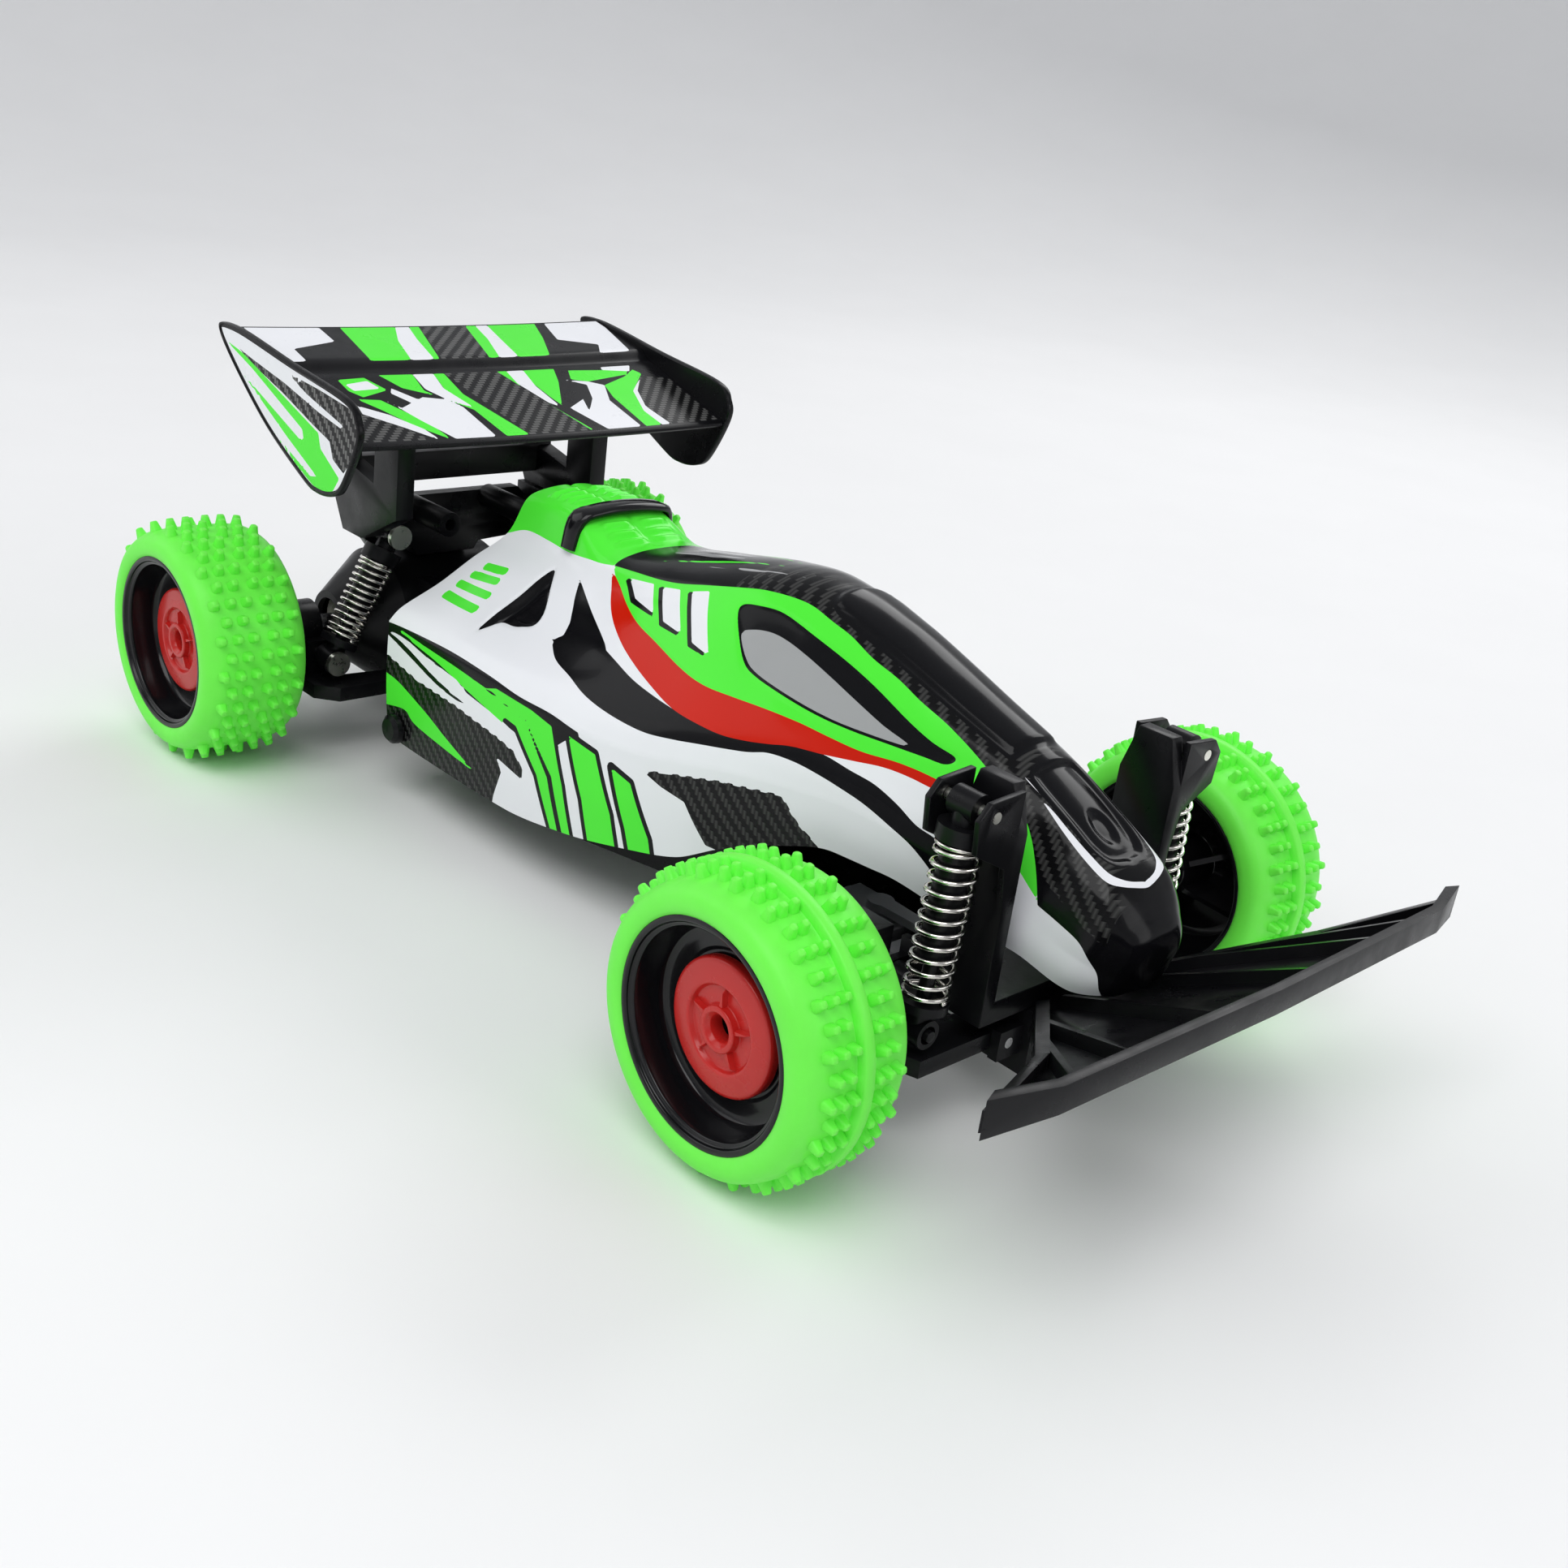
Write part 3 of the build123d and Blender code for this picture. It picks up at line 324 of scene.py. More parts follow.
def twill(n, first, second, size):
    """A 2 by 2 twill weave over two axes: 1 where a warp thread is on top, and the thread's height."""
    u, v = n.math("DIVIDE", first, size), n.math("DIVIDE", second, size)
    column, row = n.math("FLOOR", u), n.math("FLOOR", v)
    step = n.math("FLOORED_MODULO", n.math("ADD", column, row), 4.0)
    over = n.math("LESS_THAN", step, 1.5)
    across = n.math("ABSOLUTE", n.math("SUBTRACT", n.math("FRACT", u), 0.5))
    along = n.math("ABSOLUTE", n.math("SUBTRACT", n.math("FRACT", v), 0.5))
    warp = n.math("SUBTRACT", 1.0, n.math("MULTIPLY", across, THREAD_ROUND))
    weft = n.math("SUBTRACT", 1.0, n.math("MULTIPLY", along, THREAD_ROUND))
    height = n.math("ADD", n.math("MULTIPLY", over, warp),
                    n.math("MULTIPLY", n.math("SUBTRACT", 1.0, over), weft))
    return over, height


# The printed layers from the lowest up. Carbon has no flat ink: it is a weave.
LAYERS = (("black", BLACK), ("red", RED), ("green", GREEN), ("black_over", BLACK), ("white_over", WHITE),
          ("carbon", None), ("green_over", GREEN), ("grey", GREY))


def printed(name, base, layers, weave, weave_size, gloss, thread):
    """Glossy plastic under a printed film: each layer shows where its own attribute is above zero.

    weave is the pair of axes that the carbon threads run along, and thread is how bright they are.
    """
    n = Nodes(name)
    axes = n.axes()
    over, height = twill(n, axes[weave[0]], axes[weave[1]], weave_size * MM)
    bright = n.math("MULTIPLY", over, n.math("MAXIMUM", height, 0.0))
    cloth = n.mix(bright, (0.004, 0.004, 0.0045), (thread, thread, thread * 0.97))
    drift = n.noise(30.0)
    colour = n.mix(drift, shade(base, 0.97), shade(base, 1.02))
    for layer, paint in LAYERS:
        if layer not in layers:
            continue
        shown = n.math("GREATER_THAN", n.attribute(layer), 0.0)
        ink = cloth if paint is None else n.mix(drift, shade(paint, 0.95), shade(paint, 1.04))
        colour = n.mix(shown, colour, ink)
    n.set(Base_Color=colour)
    n.set(Roughness=n.spread(n.noise(90.0, 4.0), *gloss))
    n.set(Coat_Weight=0.07, Coat_Roughness=0.03, IOR=1.5, Specular_IOR_Level=0.13)
    n.bump(n.noise(160.0, 2.0), 0.08, 0.00006)
    return n.material


# ------------------------------------------------------------------ printed shapes

FAR = -4.0    # the depth of every point that is well outside an outline


def depth_inside(points, outline):
    """How far each point is inside a closed outline, negative outside, and no less than FAR."""
    outline = np.asarray(outline, float)
    out = np.full(len(points), FAR)
    low, high = outline.min(0) + FAR, outline.max(0) - FAR
    near = np.where(((points >= low) & (points <= high)).all(1))[0]
    if len(near) == 0:
        return out
    q = points[near]
    best = np.full(len(q), FAR * FAR)
    inside = np.zeros(len(q), bool)
    for a, b in zip(outline, np.roll(outline, -1, axis=0)):
        edge = b - a
        length = float(edge @ edge)
        if length < 1e-9:
            continue
        t = np.clip(((q - a) @ edge) / length, 0, 1)
        gap = q - a - t[:, None] * edge
        best = np.minimum(best, (gap * gap).sum(1))
        crosses = (a[1] > q[:, 1]) != (b[1] > q[:, 1])
        if edge[1] != 0:
            inside ^= crosses & (q[:, 0] < a[0] + (q[:, 1] - a[1]) / edge[1] * edge[0])
    reach = np.sqrt(best)
    out[near] = np.where(inside, reach, -reach)
    return out


def union(points, outlines):
    """The greatest depth of each point inside any of the outlines."""
    out = np.full(len(points), FAR)
    for outline in outlines:
        out = np.maximum(out, depth_inside(points, outline))
    return out


def bar(start, end, width):
    """The outline of a bar with round ends."""
    start, end = np.asarray(start, float), np.asarray(end, float)
    way = (end - start) / np.linalg.norm(end - start)
    side = np.array((-way[1], way[0])) * width / 2
    turns = np.linspace(-pi / 2, pi / 2, 9)
    far = [end + way * cos(t) * width / 2 + side * sin(t) for t in turns]
    near = [start - way * cos(t) * width / 2 - side * sin(t) for t in turns]
    return np.array(far + near)


def band(lower, upper):
    """The outline between two smooth edges that run the same way."""
    return np.vstack([spline(lower), spline(upper)[::-1]])


TOOTH, TOOTH_PITCH = 0.22, 2.1


def jagged(points):
    """An edge torn along the weave: small square teeth on a line."""
    out = []
    for a, b in zip(points, points[1:]):
        a, b = np.asarray(a, float), np.asarray(b, float)
        count = max(2, int(np.linalg.norm(b - a) / TOOTH_PITCH))
        side = np.array((a[1] - b[1], b[0] - a[0])) / np.linalg.norm(b - a) * TOOTH
        for k in range(count):
            lift = side if k % 2 else -side
            out += [a + (b - a) * k / count + lift, a + (b - a) * (k + 1) / count + lift]
    return np.array(out)


def store(item, name, values):
    """Keeps one number for each point of a mesh under a name that a material can read."""
    attribute = item.data.attributes.new(name, "FLOAT", "POINT")
    attribute.data.foreach_set("value", np.asarray(values, np.float32))


# ------------------------------------------------------------------ body shell lines

STATIONS = [-105.5, -82, -60, -36, -8, 20, 37.5, 52, 70, 88, 103, 124.5, 142, 158.5, 167]
# (y, z) of each long line of the left half at the stations, from the lower edge to the roof middle.
LINES = (
    [(50.5, 20.6), (51.3, 21), (51.5, 21.4), (51.2, 22), (50, 25.5), (47.5, 31.5), (44.5, 36), (41, 44),
     (37, 52), (33.5, 57), (31, 57), (26, 53), (21.2, 50), (17, 45.5), (13.5, 46)],
    [(51.5, 61), (52, 61), (52, 61), (51.7, 60.8), (50.8, 60.5), (48, 62), (44.5, 65), (41.5, 67.5),
     (37.5, 69.5), (34, 71), (31.5, 70), (26.5, 65), (22, 60.5), (18, 55), (15, 53)],
    [(48.5, 65), (49, 65.5), (49, 66), (48.5, 66), (47.5, 67), (45, 69.5), (41.5, 73), (38.7, 75),
     (35.2, 76.5), (32, 76.8), (29.5, 74.8), (24.8, 70), (21, 64.5), (17.8, 59), (15.2, 56.5)],
    [(36, 73), (36.5, 75), (35.7, 76), (35.3, 77.5), (34.5, 81), (34.5, 83), (33, 85.5), (31.3, 86),
     (29.5, 84.5), (27.8, 82), (26, 79.5), (22.5, 74.8), (19.8, 68.5), (17.2, 62.5), (14.8, 59.5)],
    [(27, 82), (27.5, 84), (27.8, 85), (28.6, 86), (28.5, 90), (28.5, 94.5), (26.5, 97), (24.7, 96.5),
     (23, 93.8), (21.8, 90), (20.6, 86.8), (18.3, 81.8), (17, 74.5), (16, 67.5), (14, 62.5)],
    [(17, 90), (17.5, 92.5), (19, 94), (23, 92), (24.5, 97), (23.8, 102.5), (20.5, 106.8), (18.5, 106),
     (16.8, 102.5), (15.8, 98.2), (15.2, 93.8), (14, 87.6), (13.8, 79.5), (14, 71.5), (12.6, 65.5)],
    [(12.5, 99), (14, 105.5), (15.6, 107.2), (19, 98.8), (19.8, 103), (18.8, 108.3), (15.8, 111),
     (13.7, 110.3), (12.4, 106.8), (12, 101.6), (11.8, 97), (11.2, 90.6), (11.2, 82.8), (11.2, 74.2),
     (10, 67.5)],
    [(8, 102), (9, 108), (10, 108.8), (12, 101.3), (12, 106), (11, 111.8), (9, 114), (8, 113),
     (7, 109.5), (6.8, 104.3), (6.6, 99.6), (6.4, 92.9), (6.5, 85.2), (6.5, 75.2), (6, 68.8)],
    [(0, 103), (0, 109), (0, 109.3), (0, 102.1), (0, 107.3), (0, 113), (0, 115.2), (0, 114.2),
     (0, 110.7), (0, 105.4), (0, 100.8), (0, 93.9), (0, 86), (0, 75.6), (0, 69.2)],
)
REAR_EDGE = np.array([-105.5, -105.5, -104.3, -101, -95.5, -91, -85.5, -83, -82])
NOSE_EDGE = np.array([164, 165.6, 166.2, 167, 167.6, 168, 168.4, 168.5, 168.5])
TAIL, TIP = -105.5, 168.5
TAIL_REACH, TIP_REACH = 65.5, 28.5    # how far the slanted ends draw the cross sections along
END_EASE = 1.5                        # how fast that pull fades away from the ends
ROWS = 361                            # cross sections along the shell
SPANS = (33, 6, 12, 12, 12, 9, 6, 9)  # columns between one long line and the next
SIDE_BULGE = 0.8                      # how far the lower side swells out


def slopes(x, y):
    """Slopes of a curve through the points that never overshoots them."""
    step = np.diff(x)
    rise = np.diff(y) / step
    out = np.zeros(len(x))
    out[0], out[-1] = rise[0], rise[-1]
    for i in range(1, len(x) - 1):
        if rise[i - 1] * rise[i] > 0:
            near, far = 2 * step[i] + step[i - 1], step[i] + 2 * step[i - 1]
            out[i] = 3 * (step[i - 1] + step[i]) / (near / rise[i - 1] + far / rise[i])
    return out


def curve(x, y, at):
    """The height at one place of the smooth curve through the points."""
    x, y = np.array(x, float), np.array(y, float)
    m = slopes(x, y)
    at = float(np.clip(at, x[0], x[-1]))
    i = int(np.clip(np.searchsorted(x, at) - 1, 0, len(x) - 2))
    h = x[i + 1] - x[i]
    t = (at - x[i]) / h
    return (y[i] * (1 + 2 * t) * (1 - t) ** 2 + h * m[i] * t * (1 - t) ** 2
            + y[i + 1] * t * t * (3 - 2 * t) + h * m[i + 1] * t * t * (t - 1))


def line_points(share):
    """Where the nine long lines are at a share of the length, 0 at the tail and 1 at the nose."""
    base = TAIL + share * (TIP - TAIL)
    rear = np.clip((TAIL + TAIL_REACH - base) / TAIL_REACH, 0, 1) ** END_EASE
    front = np.clip((base - TIP + TIP_REACH) / TIP_REACH, 0, 1) ** END_EASE
    out = []
    for line, rear_x, nose_x in zip(LINES, REAR_EDGE, NOSE_EDGE):
        x = base + rear * (rear_x - TAIL) + front * (nose_x - TIP)
        y_values, z_values = zip(*line)
        out.append((x, curve(STATIONS, y_values, x), curve(STATIONS, z_values, x)))
    return np.array(out)


def half_section(share):
    """Points of the left half section: a nearly flat side, then a curve over the shoulder to the middle."""
    p = line_points(share)
    out = []
    for t in np.arange(SPANS[0]) / SPANS[0]:
        out.append(p[0] + (p[1] - p[0]) * t + np.array((0, SIDE_BULGE * sin(pi * t), 0)))
    mirror = np.array((1, -1, 1))
    knots = np.vstack([2 * p[1] - p[2], p[1:], p[-2] * mirror])
    for i in range(1, len(knots) - 2):
        a, b, c, d = knots[i - 1:i + 3]
        t1 = np.linalg.norm(b - a) ** 0.5
        t2 = t1 + np.linalg.norm(c - b) ** 0.5
        t3 = t2 + np.linalg.norm(d - c) ** 0.5
        for u in np.arange(SPANS[i]) / SPANS[i]:
            t = t1 + (t2 - t1) * u
            ab = (t1 - t) / t1 * a + t / t1 * b
            bc = (t2 - t) / (t2 - t1) * b + (t - t1) / (t2 - t1) * c
            cd = (t3 - t) / (t3 - t2) * c + (t - t2) / (t3 - t2) * d
            left = (t2 - t) / t2 * ab + t / t2 * bc
            right = (t3 - t) / (t3 - t1) * bc + (t - t1) / (t3 - t1) * cd
            out.append((t2 - t) / (t2 - t1) * left + (t - t1) / (t2 - t1) * right)
    out.append(p[-1])
    return np.array(out)


SHELL_WALL = 1.3
NOSE_ROUND = 11.0   # length over which the front end of the nose rounds off
NOSE_DROP = 7.0     # how far the section draws in over that length
NOSE_AHEAD = 2.2    # how far the rounded end runs past the last section
NOSE_STEPS = 8


def draw_in(row, along):
    """A cross section drawn in towards its foot by an elliptic nose end."""
    foot = np.array((0, 0, row[:, 2].min()))
    share = np.clip(along / NOSE_ROUND, 0, 1)
    shrink = 1 - NOSE_DROP / np.abs(row[:, 1]).max() * (1 - (1 - share * share) ** 0.5)
    return (row - foot) * (1, shrink, shrink) + foot


def shell_grid():
    """The outer surface as rows from the tail to the closed nose, right lower edge to left lower edge."""
    rows = []
    for share in np.linspace(0, 1, ROWS):
        left = half_section(share)
        right = left[:-1] * (1, -1, 1)
        whole = np.vstack([right, left[::-1]])
        start = TIP + NOSE_AHEAD - NOSE_ROUND
        rows.append(draw_in(whole, TAIL + share * (TIP - TAIL) - start))
    last = whole
    for turn in np.arange(1, NOSE_STEPS + 1) / NOSE_STEPS * pi / 2:
        ahead = NOSE_AHEAD * sin(turn)
        rows.append(draw_in(last, NOSE_ROUND - NOSE_AHEAD + ahead) + (ahead, 0, 0))
    face = rows[-1]
    foot = np.array((0, 0, face[:, 2].min()))
    for share in (0.7, 0.4, 0.02):
        ring = (face - foot) * (1, share, share) + foot
        ring[:, 0] = face[:, 0] * share + (face[:, 0].min() + 1.0) * (1 - share)
        rows.append(ring)
    return np.array(rows)


def grid_normals(grid):
    """Outward unit normals of a grid of points."""
    along = np.gradient(grid, axis=0)
    across = np.gradient(grid, axis=1)
    out = np.cross(across, along)
    out /= np.linalg.norm(out, axis=2, keepdims=True) + 1e-9
    middle = grid[len(grid) // 2]
    if out[len(grid) // 2, 3, 1] * middle[3, 1] < 0:
        out = -out
    return out


# ------------------------------------------------------------------ livery from the side, (x, z)

HOOD_EDGE = [(-31.5, 98.5), (-20, 100), (-2, 102.5), (12.5, 106), (25, 109), (33, 110.5), (41.5, 111),
             (49.5, 110.5), (59, 108.5), (65, 107), (74, 104), (83.5, 101.5), (92.5, 98.5), (104, 95),
             (117, 90), (131.5, 83), (136.5, 79), (140.5, 74), (143.5, 69), (145.5, 64.5)]
NOSE_EDGE_LOW = [(145.5, 64.5), (152.5, 62), (158, 59.5), (161, 56), (163.5, 52), (164, 46.5)]
RED_LOW = [(-30.5, 96.5), (-26.5, 92.5), (-18, 87), (-8.5, 83), (2.5, 80), (15, 77.5), (25, 76), (35.5, 75.5),
           (45, 75.5), (53, 76.5), (60.5, 78), (67, 79.5), (77, 80.5), (85.5, 81.5), (95, 82.5),
           (105.5, 82), (116.5, 80), (132, 73)]
RED_HIGH = [(-28.5, 96.5), (-18.5, 93), (-7.5, 89.5), (4.5, 87.5), (18.5, 85), (30, 84), (42.5, 84.5),
            (54, 85), (65, 85), (74.5, 84.5), (86, 84), (97, 84.5), (107, 84), (116, 82.5), (133, 74.5)]
SWOOSH_LOW = [(-36.5, 75.5), (-28.5, 72.5), (-18, 71), (-6.5, 69), (6.5, 68), (20, 68), (31, 69.5), (39, 71),
              (54.5, 74), (61.5, 76), (69.5, 76.5), (77.5, 76), (85.5, 75), (94, 73.5), (102.5, 71),
              (110.5, 68), (118.5, 62.5), (124, 56)]
SWOOSH_HIGH = [(-17.5, 80.5), (-7, 79), (7, 77), (25, 76), (45, 75.8), (60, 78.2), (69, 80.3), (77, 80.5),
               (86, 79.5), (94.5, 78.5), (103, 76), (110, 73), (117, 71), (124, 66)]
COVER_LOW = [(-96, 90), (-91, 91.5), (-81.5, 95), (-67.5, 95.5), (-56, 95.5), (-43.5, 97), (-37.5, 97.5),
             (-31.5, 98.5)]
WINDOW = [(29, 104), (29.5, 106), (34, 107), (41.5, 107.5), (50.5, 106), (65, 102.5), (79, 98.5),
          (93.5, 93.5), (102, 91), (109.5, 89.5), (108, 87.5), (101.5, 87.5), (91, 87.5), (80, 87.5),
          (68, 88), (55, 89.5), (45, 91), (39.5, 93), (34, 98)]
PANE = [(33.8, 99.2), (36.5, 101.2), (42.5, 102.2), (49, 101.6), (57, 99.8), (66, 97.2), (76, 94.2), (87, 91),
        (96.5, 88.6), (80, 88.2), (68, 88.7), (55, 90.2), (45, 91.8), (39.5, 94)]
INTAKE = [(-66.5, 70), (-66.5, 74.5), (-62.5, 81.5), (-58.5, 89.5), (-55, 88), (-50.5, 83.5), (-48, 79.5),
          (-48, 76.5), (-51.5, 75), (-55.5, 74), (-61, 73.5), (-64, 71.5)]
SPEAR = [(-43.5, 91), (-37.5, 85), (-34.5, 81), (-33.5, 77.5), (-36.5, 75.5), (-24, 76), (-11, 79), (-15, 81),
         (-31.5, 87)]
SLOTS = [((-93, 72.5), (-75, 73)), ((-92, 76), (-75, 77)), ((-89, 79.5), (-76, 81)), ((-86, 82.8), (-76, 84))]
SMALL_WINDOWS = [
    [(-21, 98), (-9, 100), (-2.5, 93.5), (-13.5, 94.5)],
    [(-4.5, 100.5), (3, 102), (12.5, 92.5), (3, 93)],
    [(8, 103), (14.5, 105), (27, 91), (18.5, 92)],
]
WINDOW_CORNERS = [
    [(-23.2, 97.3), (-20.6, 98), (-13.2, 94.7), (-3.2, 93.8), (-1.8, 92.6), (-14.5, 93)],
    [(-6.4, 100.1), (-4.2, 100.6), (3.6, 93.4), (11.2, 93), (12, 91.6), (2.2, 91.6)],
    [(6.4, 102.5), (8.4, 103), (19.2, 92.2), (24.8, 91.7), (25.6, 90.3), (17.6, 90.6)],
]
BELT_HIGH = [(-108, 60), (-101, 61), (-84.5, 62), (-66.5, 62.5), (-48, 62), (-32, 61), (-16, 61),
             (-2.5, 59.8)]
SLASHES = [
    [(-58, 54.5), (-31.5, 51.5), (-20, 40), (-12, 22), (-3, 22), (-8, 41), (-15, 57.5), (-25, 59),
     (-43, 59.5)],
    [(-7, 57.5), (5, 56), (13, 40), (17, 22), (5, 22), (1, 40)],
    [(12, 54.5), (20, 52.5), (28, 38), (31, 22), (23, 22), (19, 38)],
]
CARBON_REAR = [(-108, 49.5), (-102.5, 49), (-86, 47), (-63, 46.5), (-40, 44.5), (-31.5, 43), (-27, 39)]
SLASH_BORDER = 1.7    # width of the black line round each slash
CARBON_FRONT = [(24, 58), (32, 60), (50, 64), (70, 67), (76.5, 61), (82.5, 57)]
SWEEP_LOW = [(-106, 56.2), (-90, 53), (-72, 49.2), (-51.5, 48)]
SWEEP_HIGH = [(-106, 57.6), (-92, 55.5), (-74, 51.2), (-51.5, 48)]
STREAK_LOW = [(-98, 59.3), (-76.5, 57), (-60, 54), (-38, 50)]
STREAK_HIGH = [(-98, 60.3), (-76.5, 59.4), (-60, 58.6), (-38, 57)]
FIN_LOW = [(-106, 31.5), (-93.5, 34), (-87, 31.3), (-68, 29.4), (-52, 28.2)]
FIN_HIGH = [(-106, 43), (-96.5, 42.2), (-80.5, 38), (-68.5, 33.7), (-52, 28.2)]
SLASH_CUTS = [
    [(-30, 58), (-13, 42), (-6.6, 22), (-8.8, 22), (-15, 41)],
    [(-72, 60.2), (-50, 58.7), (-28, 54.6), (-50, 57.6)],
]
STREAK_WHITE = [(-88, 57.2), (-66, 52.6), (-47, 48.8), (-64, 55)]
SLOT_WIDTH = 2.1


def below(edge, corners):
    """The outline under a smooth edge, closed by straight corners."""
    return np.vstack([edge, corners])


COCKPIT = np.vstack([spline(RED_HIGH), [(144.5, 66)], spline(HOOD_EDGE)[::-1]])
COVER = below(spline(COVER_LOW), [(-31.5, 130), (-110, 130), (-110, 90)])
HOOD = np.vstack([spline(HOOD_EDGE), spline(NOSE_EDGE_LOW)[1:],
                  [(164, 30), (180, 30), (180, 130), (-31.5, 130)]])
BELT = below(spline(BELT_HIGH), [(-7, 56.5), (-17, 48), (-34, 49.6), (-50, 53), (-70, 54.8), (-92, 58),
                                 (-108, 58.5)])
REAR_PATCH = below(jagged(CARBON_REAR), [(-27, 35.5), (-40.5, 38), (-37.5, 34), (-41.5, 24.5), (-44, 15),
                                         (-110, 15), (-110, 49.5)])
FRONT_PATCH = below(jagged(CARBON_FRONT), [(100, 40), (47.5, 43.5), (39.5, 54), (31, 55.5)])


def side_layers(q):
    """Each layer's depth for points q, (x, z) seen from the side."""
    slashes = union(q, SLASHES)
    slots = [bar(a, b, SLOT_WIDTH) for a, b in SLOTS]
    black = union(q, [band(SWOOSH_LOW, SWOOSH_HIGH), SPEAR, BELT, band(SWEEP_LOW, SWEEP_HIGH)])
    green = union(q, [COCKPIT, COVER, band(STREAK_LOW, STREAK_HIGH)] + slots)
    window, intake = spline(WINDOW, 4, True), spline(INTAKE, 4, True)
    return {
        "black": np.maximum(black, slashes + SLASH_BORDER),
        "red": depth_inside(q, band(RED_LOW, RED_HIGH)),
        "green": np.maximum(green, slashes),
        "black_over": union(q, [HOOD, window, intake] + WINDOW_CORNERS + SLASH_CUTS),
        "white_over": union(q, SMALL_WINDOWS + [STREAK_WHITE]),
        "carbon": union(q, [REAR_PATCH, FRONT_PATCH]),
        "green_over": depth_inside(q, band(FIN_LOW, FIN_HIGH)),
        "grey": depth_inside(q, spline(PANE, 4, True)),
    }


# ------------------------------------------------------------------ shell features seen from above, (x, y)

WINDSCREEN = [(50, 0), (51, 7), (55, 10.8), (64, 11.6), (84, 10.8), (104, 10.2), (119, 9.6), (121.5, 8.5),
              (122, 0)]
NOSE_PANEL = [(127, 0), (127.5, 7.5), (131, 9.3), (144, 9.4), (151, 8.8), (155.5, 6), (157, 0)]
NOSE_LINE = [(126.5, 10.4), (135, 11.2), (143, 11.9), (152, 12.2), (158.2, 11.3), (160.6, 8), (162.2, 2.6),
             (162.5, -0.5), (161.6, -0.5), (160.6, 4), (159.2, 7), (156.6, 9.6), (151, 10.6), (143, 10.8),
             (135, 10.6)]
CROWN = ((-105, 86), (-80, 92), (20, 96), (60, 96), (124, 82), (168, 58))    # lowest edge of the top, (x, z)
RIB_X = (-74.5, -70.3, -66.1, -61.9, -47.5, -43.3, -39.1)
BAR_X = -54.2    # middle of the black bar across the engine cover


def mirrored(outline):
    outline = np.asarray(outline, float)
    return np.vstack([outline, outline[::-1] * (1, -1)])


def ramp(depth, width):
    t = np.clip(depth / width, 0, 1)
    return t * t * (3 - 2 * t)


# Outline, height (sunk if negative), margin outside the outline and width of the slope.
SIDE_RELIEF = ((INTAKE, -3.2, 0.6, 2.6), (WINDOW, -0.45, 0.6, 1.2))
TOP_RELIEF = ((WINDSCREEN, 1.1, 0, 2.2), (NOSE_PANEL, -1.4, 0, 2.0))
DISH = dict(x=147, length=5.5, width=4.2, depth=0.9, slope=0.5)    # the oval dish in the nose panel
RIB = dict(inner=3.4, outer=11.2, lean=0.6, width=2.2, height=1.15, margin=0.5, slope=1.2)
SEAM = dict(half_width=1.5, depth=0.6, front=-34)    # the groove along the engine cover


def over_crown(points):
    """True for the points on the top of the shell."""
    x, z = np.transpose(CROWN)
    return points[:, 2] > np.interp(points[:, 0], x, z)


def shell_relief(points, side, top):
    """How far each point moves out along its normal."""
    high = over_crown(points)
    out = np.zeros(len(points))
    for outline, height, margin, slope in SIDE_RELIEF:
        out += height * ramp(depth_inside(side, spline(outline, 4, True)) + margin, slope)
    for outline, height, margin, slope in TOP_RELIEF:
        depth = depth_inside(top, spline(mirrored(outline), 4, True)) + margin
        out += np.where(high, height * ramp(depth, slope), 0)
    across = np.hypot((top[:, 0] - DISH["x"]) / DISH["length"], top[:, 1] / DISH["width"])
    out += np.where(high, -DISH["depth"] * ramp(1 - np.clip(across, 0, 1), DISH["slope"]), 0)
    ribs = union(top, [bar((x, side_of * RIB["inner"]), (x - RIB["lean"], side_of * RIB["outer"]),
                           RIB["width"])
                       for x in RIB_X for side_of in (1, -1)])
    out += np.where(high, RIB["height"] * ramp(ribs + RIB["margin"], RIB["slope"]), 0)
    seam = 1 - np.clip(np.abs(top[:, 1]) / SEAM["half_width"], 0, 1)
    out += np.where(high & (points[:, 0] < SEAM["front"]), -SEAM["depth"] * seam, 0)
    return out


INNER_STEP = 3    # the inner skin takes every third point of the outer one


def shell_inner(outer, normals, relief):
    """The inner skin, a wall's thickness inside the deepest relief near each point."""
    lowest = np.minimum(relief, 0)
    for repeat in range(2 * INNER_STEP - 1):
        for axis in (0, 1):
            lowest = np.minimum(lowest, np.minimum(np.roll(lowest, 1, axis), np.roll(lowest, -1, axis)))
    inner = (outer - normals * (SHELL_WALL - lowest))[::INNER_STEP, ::INNER_STEP]
    for column in (0, -1):
        inner[:, column, 2] = outer[::INNER_STEP, column, 2]
    return inner


def shell_mesh(skin, inner):
    """The outer and the inner skin, joined round the open edge."""
    n, m = skin.shape[:2]
    rows, columns = inner.shape[:2]
    build = Build()
    build.grid(skin)
    start = len(build.points)
    build.grid(inner)
    build.faces[(n - 1) * (m - 1):] = [face[::-1] for face in build.faces[(n - 1) * (m - 1):]]
    for i in range(rows - 1):
        for edge, column in ((0, 0), (m - 1, columns - 1)):
            outside = [(i * INNER_STEP + k) * m + edge for k in range(INNER_STEP + 1)]
            inside = [start + (i + 1) * columns + column, start + i * columns + column]
            build.faces.append(tuple(outside + inside))
    for j in range(columns - 1):
        outside = [j * INNER_STEP + k for k in range(INNER_STEP + 1)]
        build.faces.append(tuple(outside + [start + j + 1, start + j]))
    return make_object("shell_skin", build.points, build.faces)


HOOD_BACK_X = 22      # the hood's carbon print starts here
HOOD_FRONT_X = 164    # and ends here
PLAIN_MARGIN = 0.8    # plain black round the windscreen and the nose panel
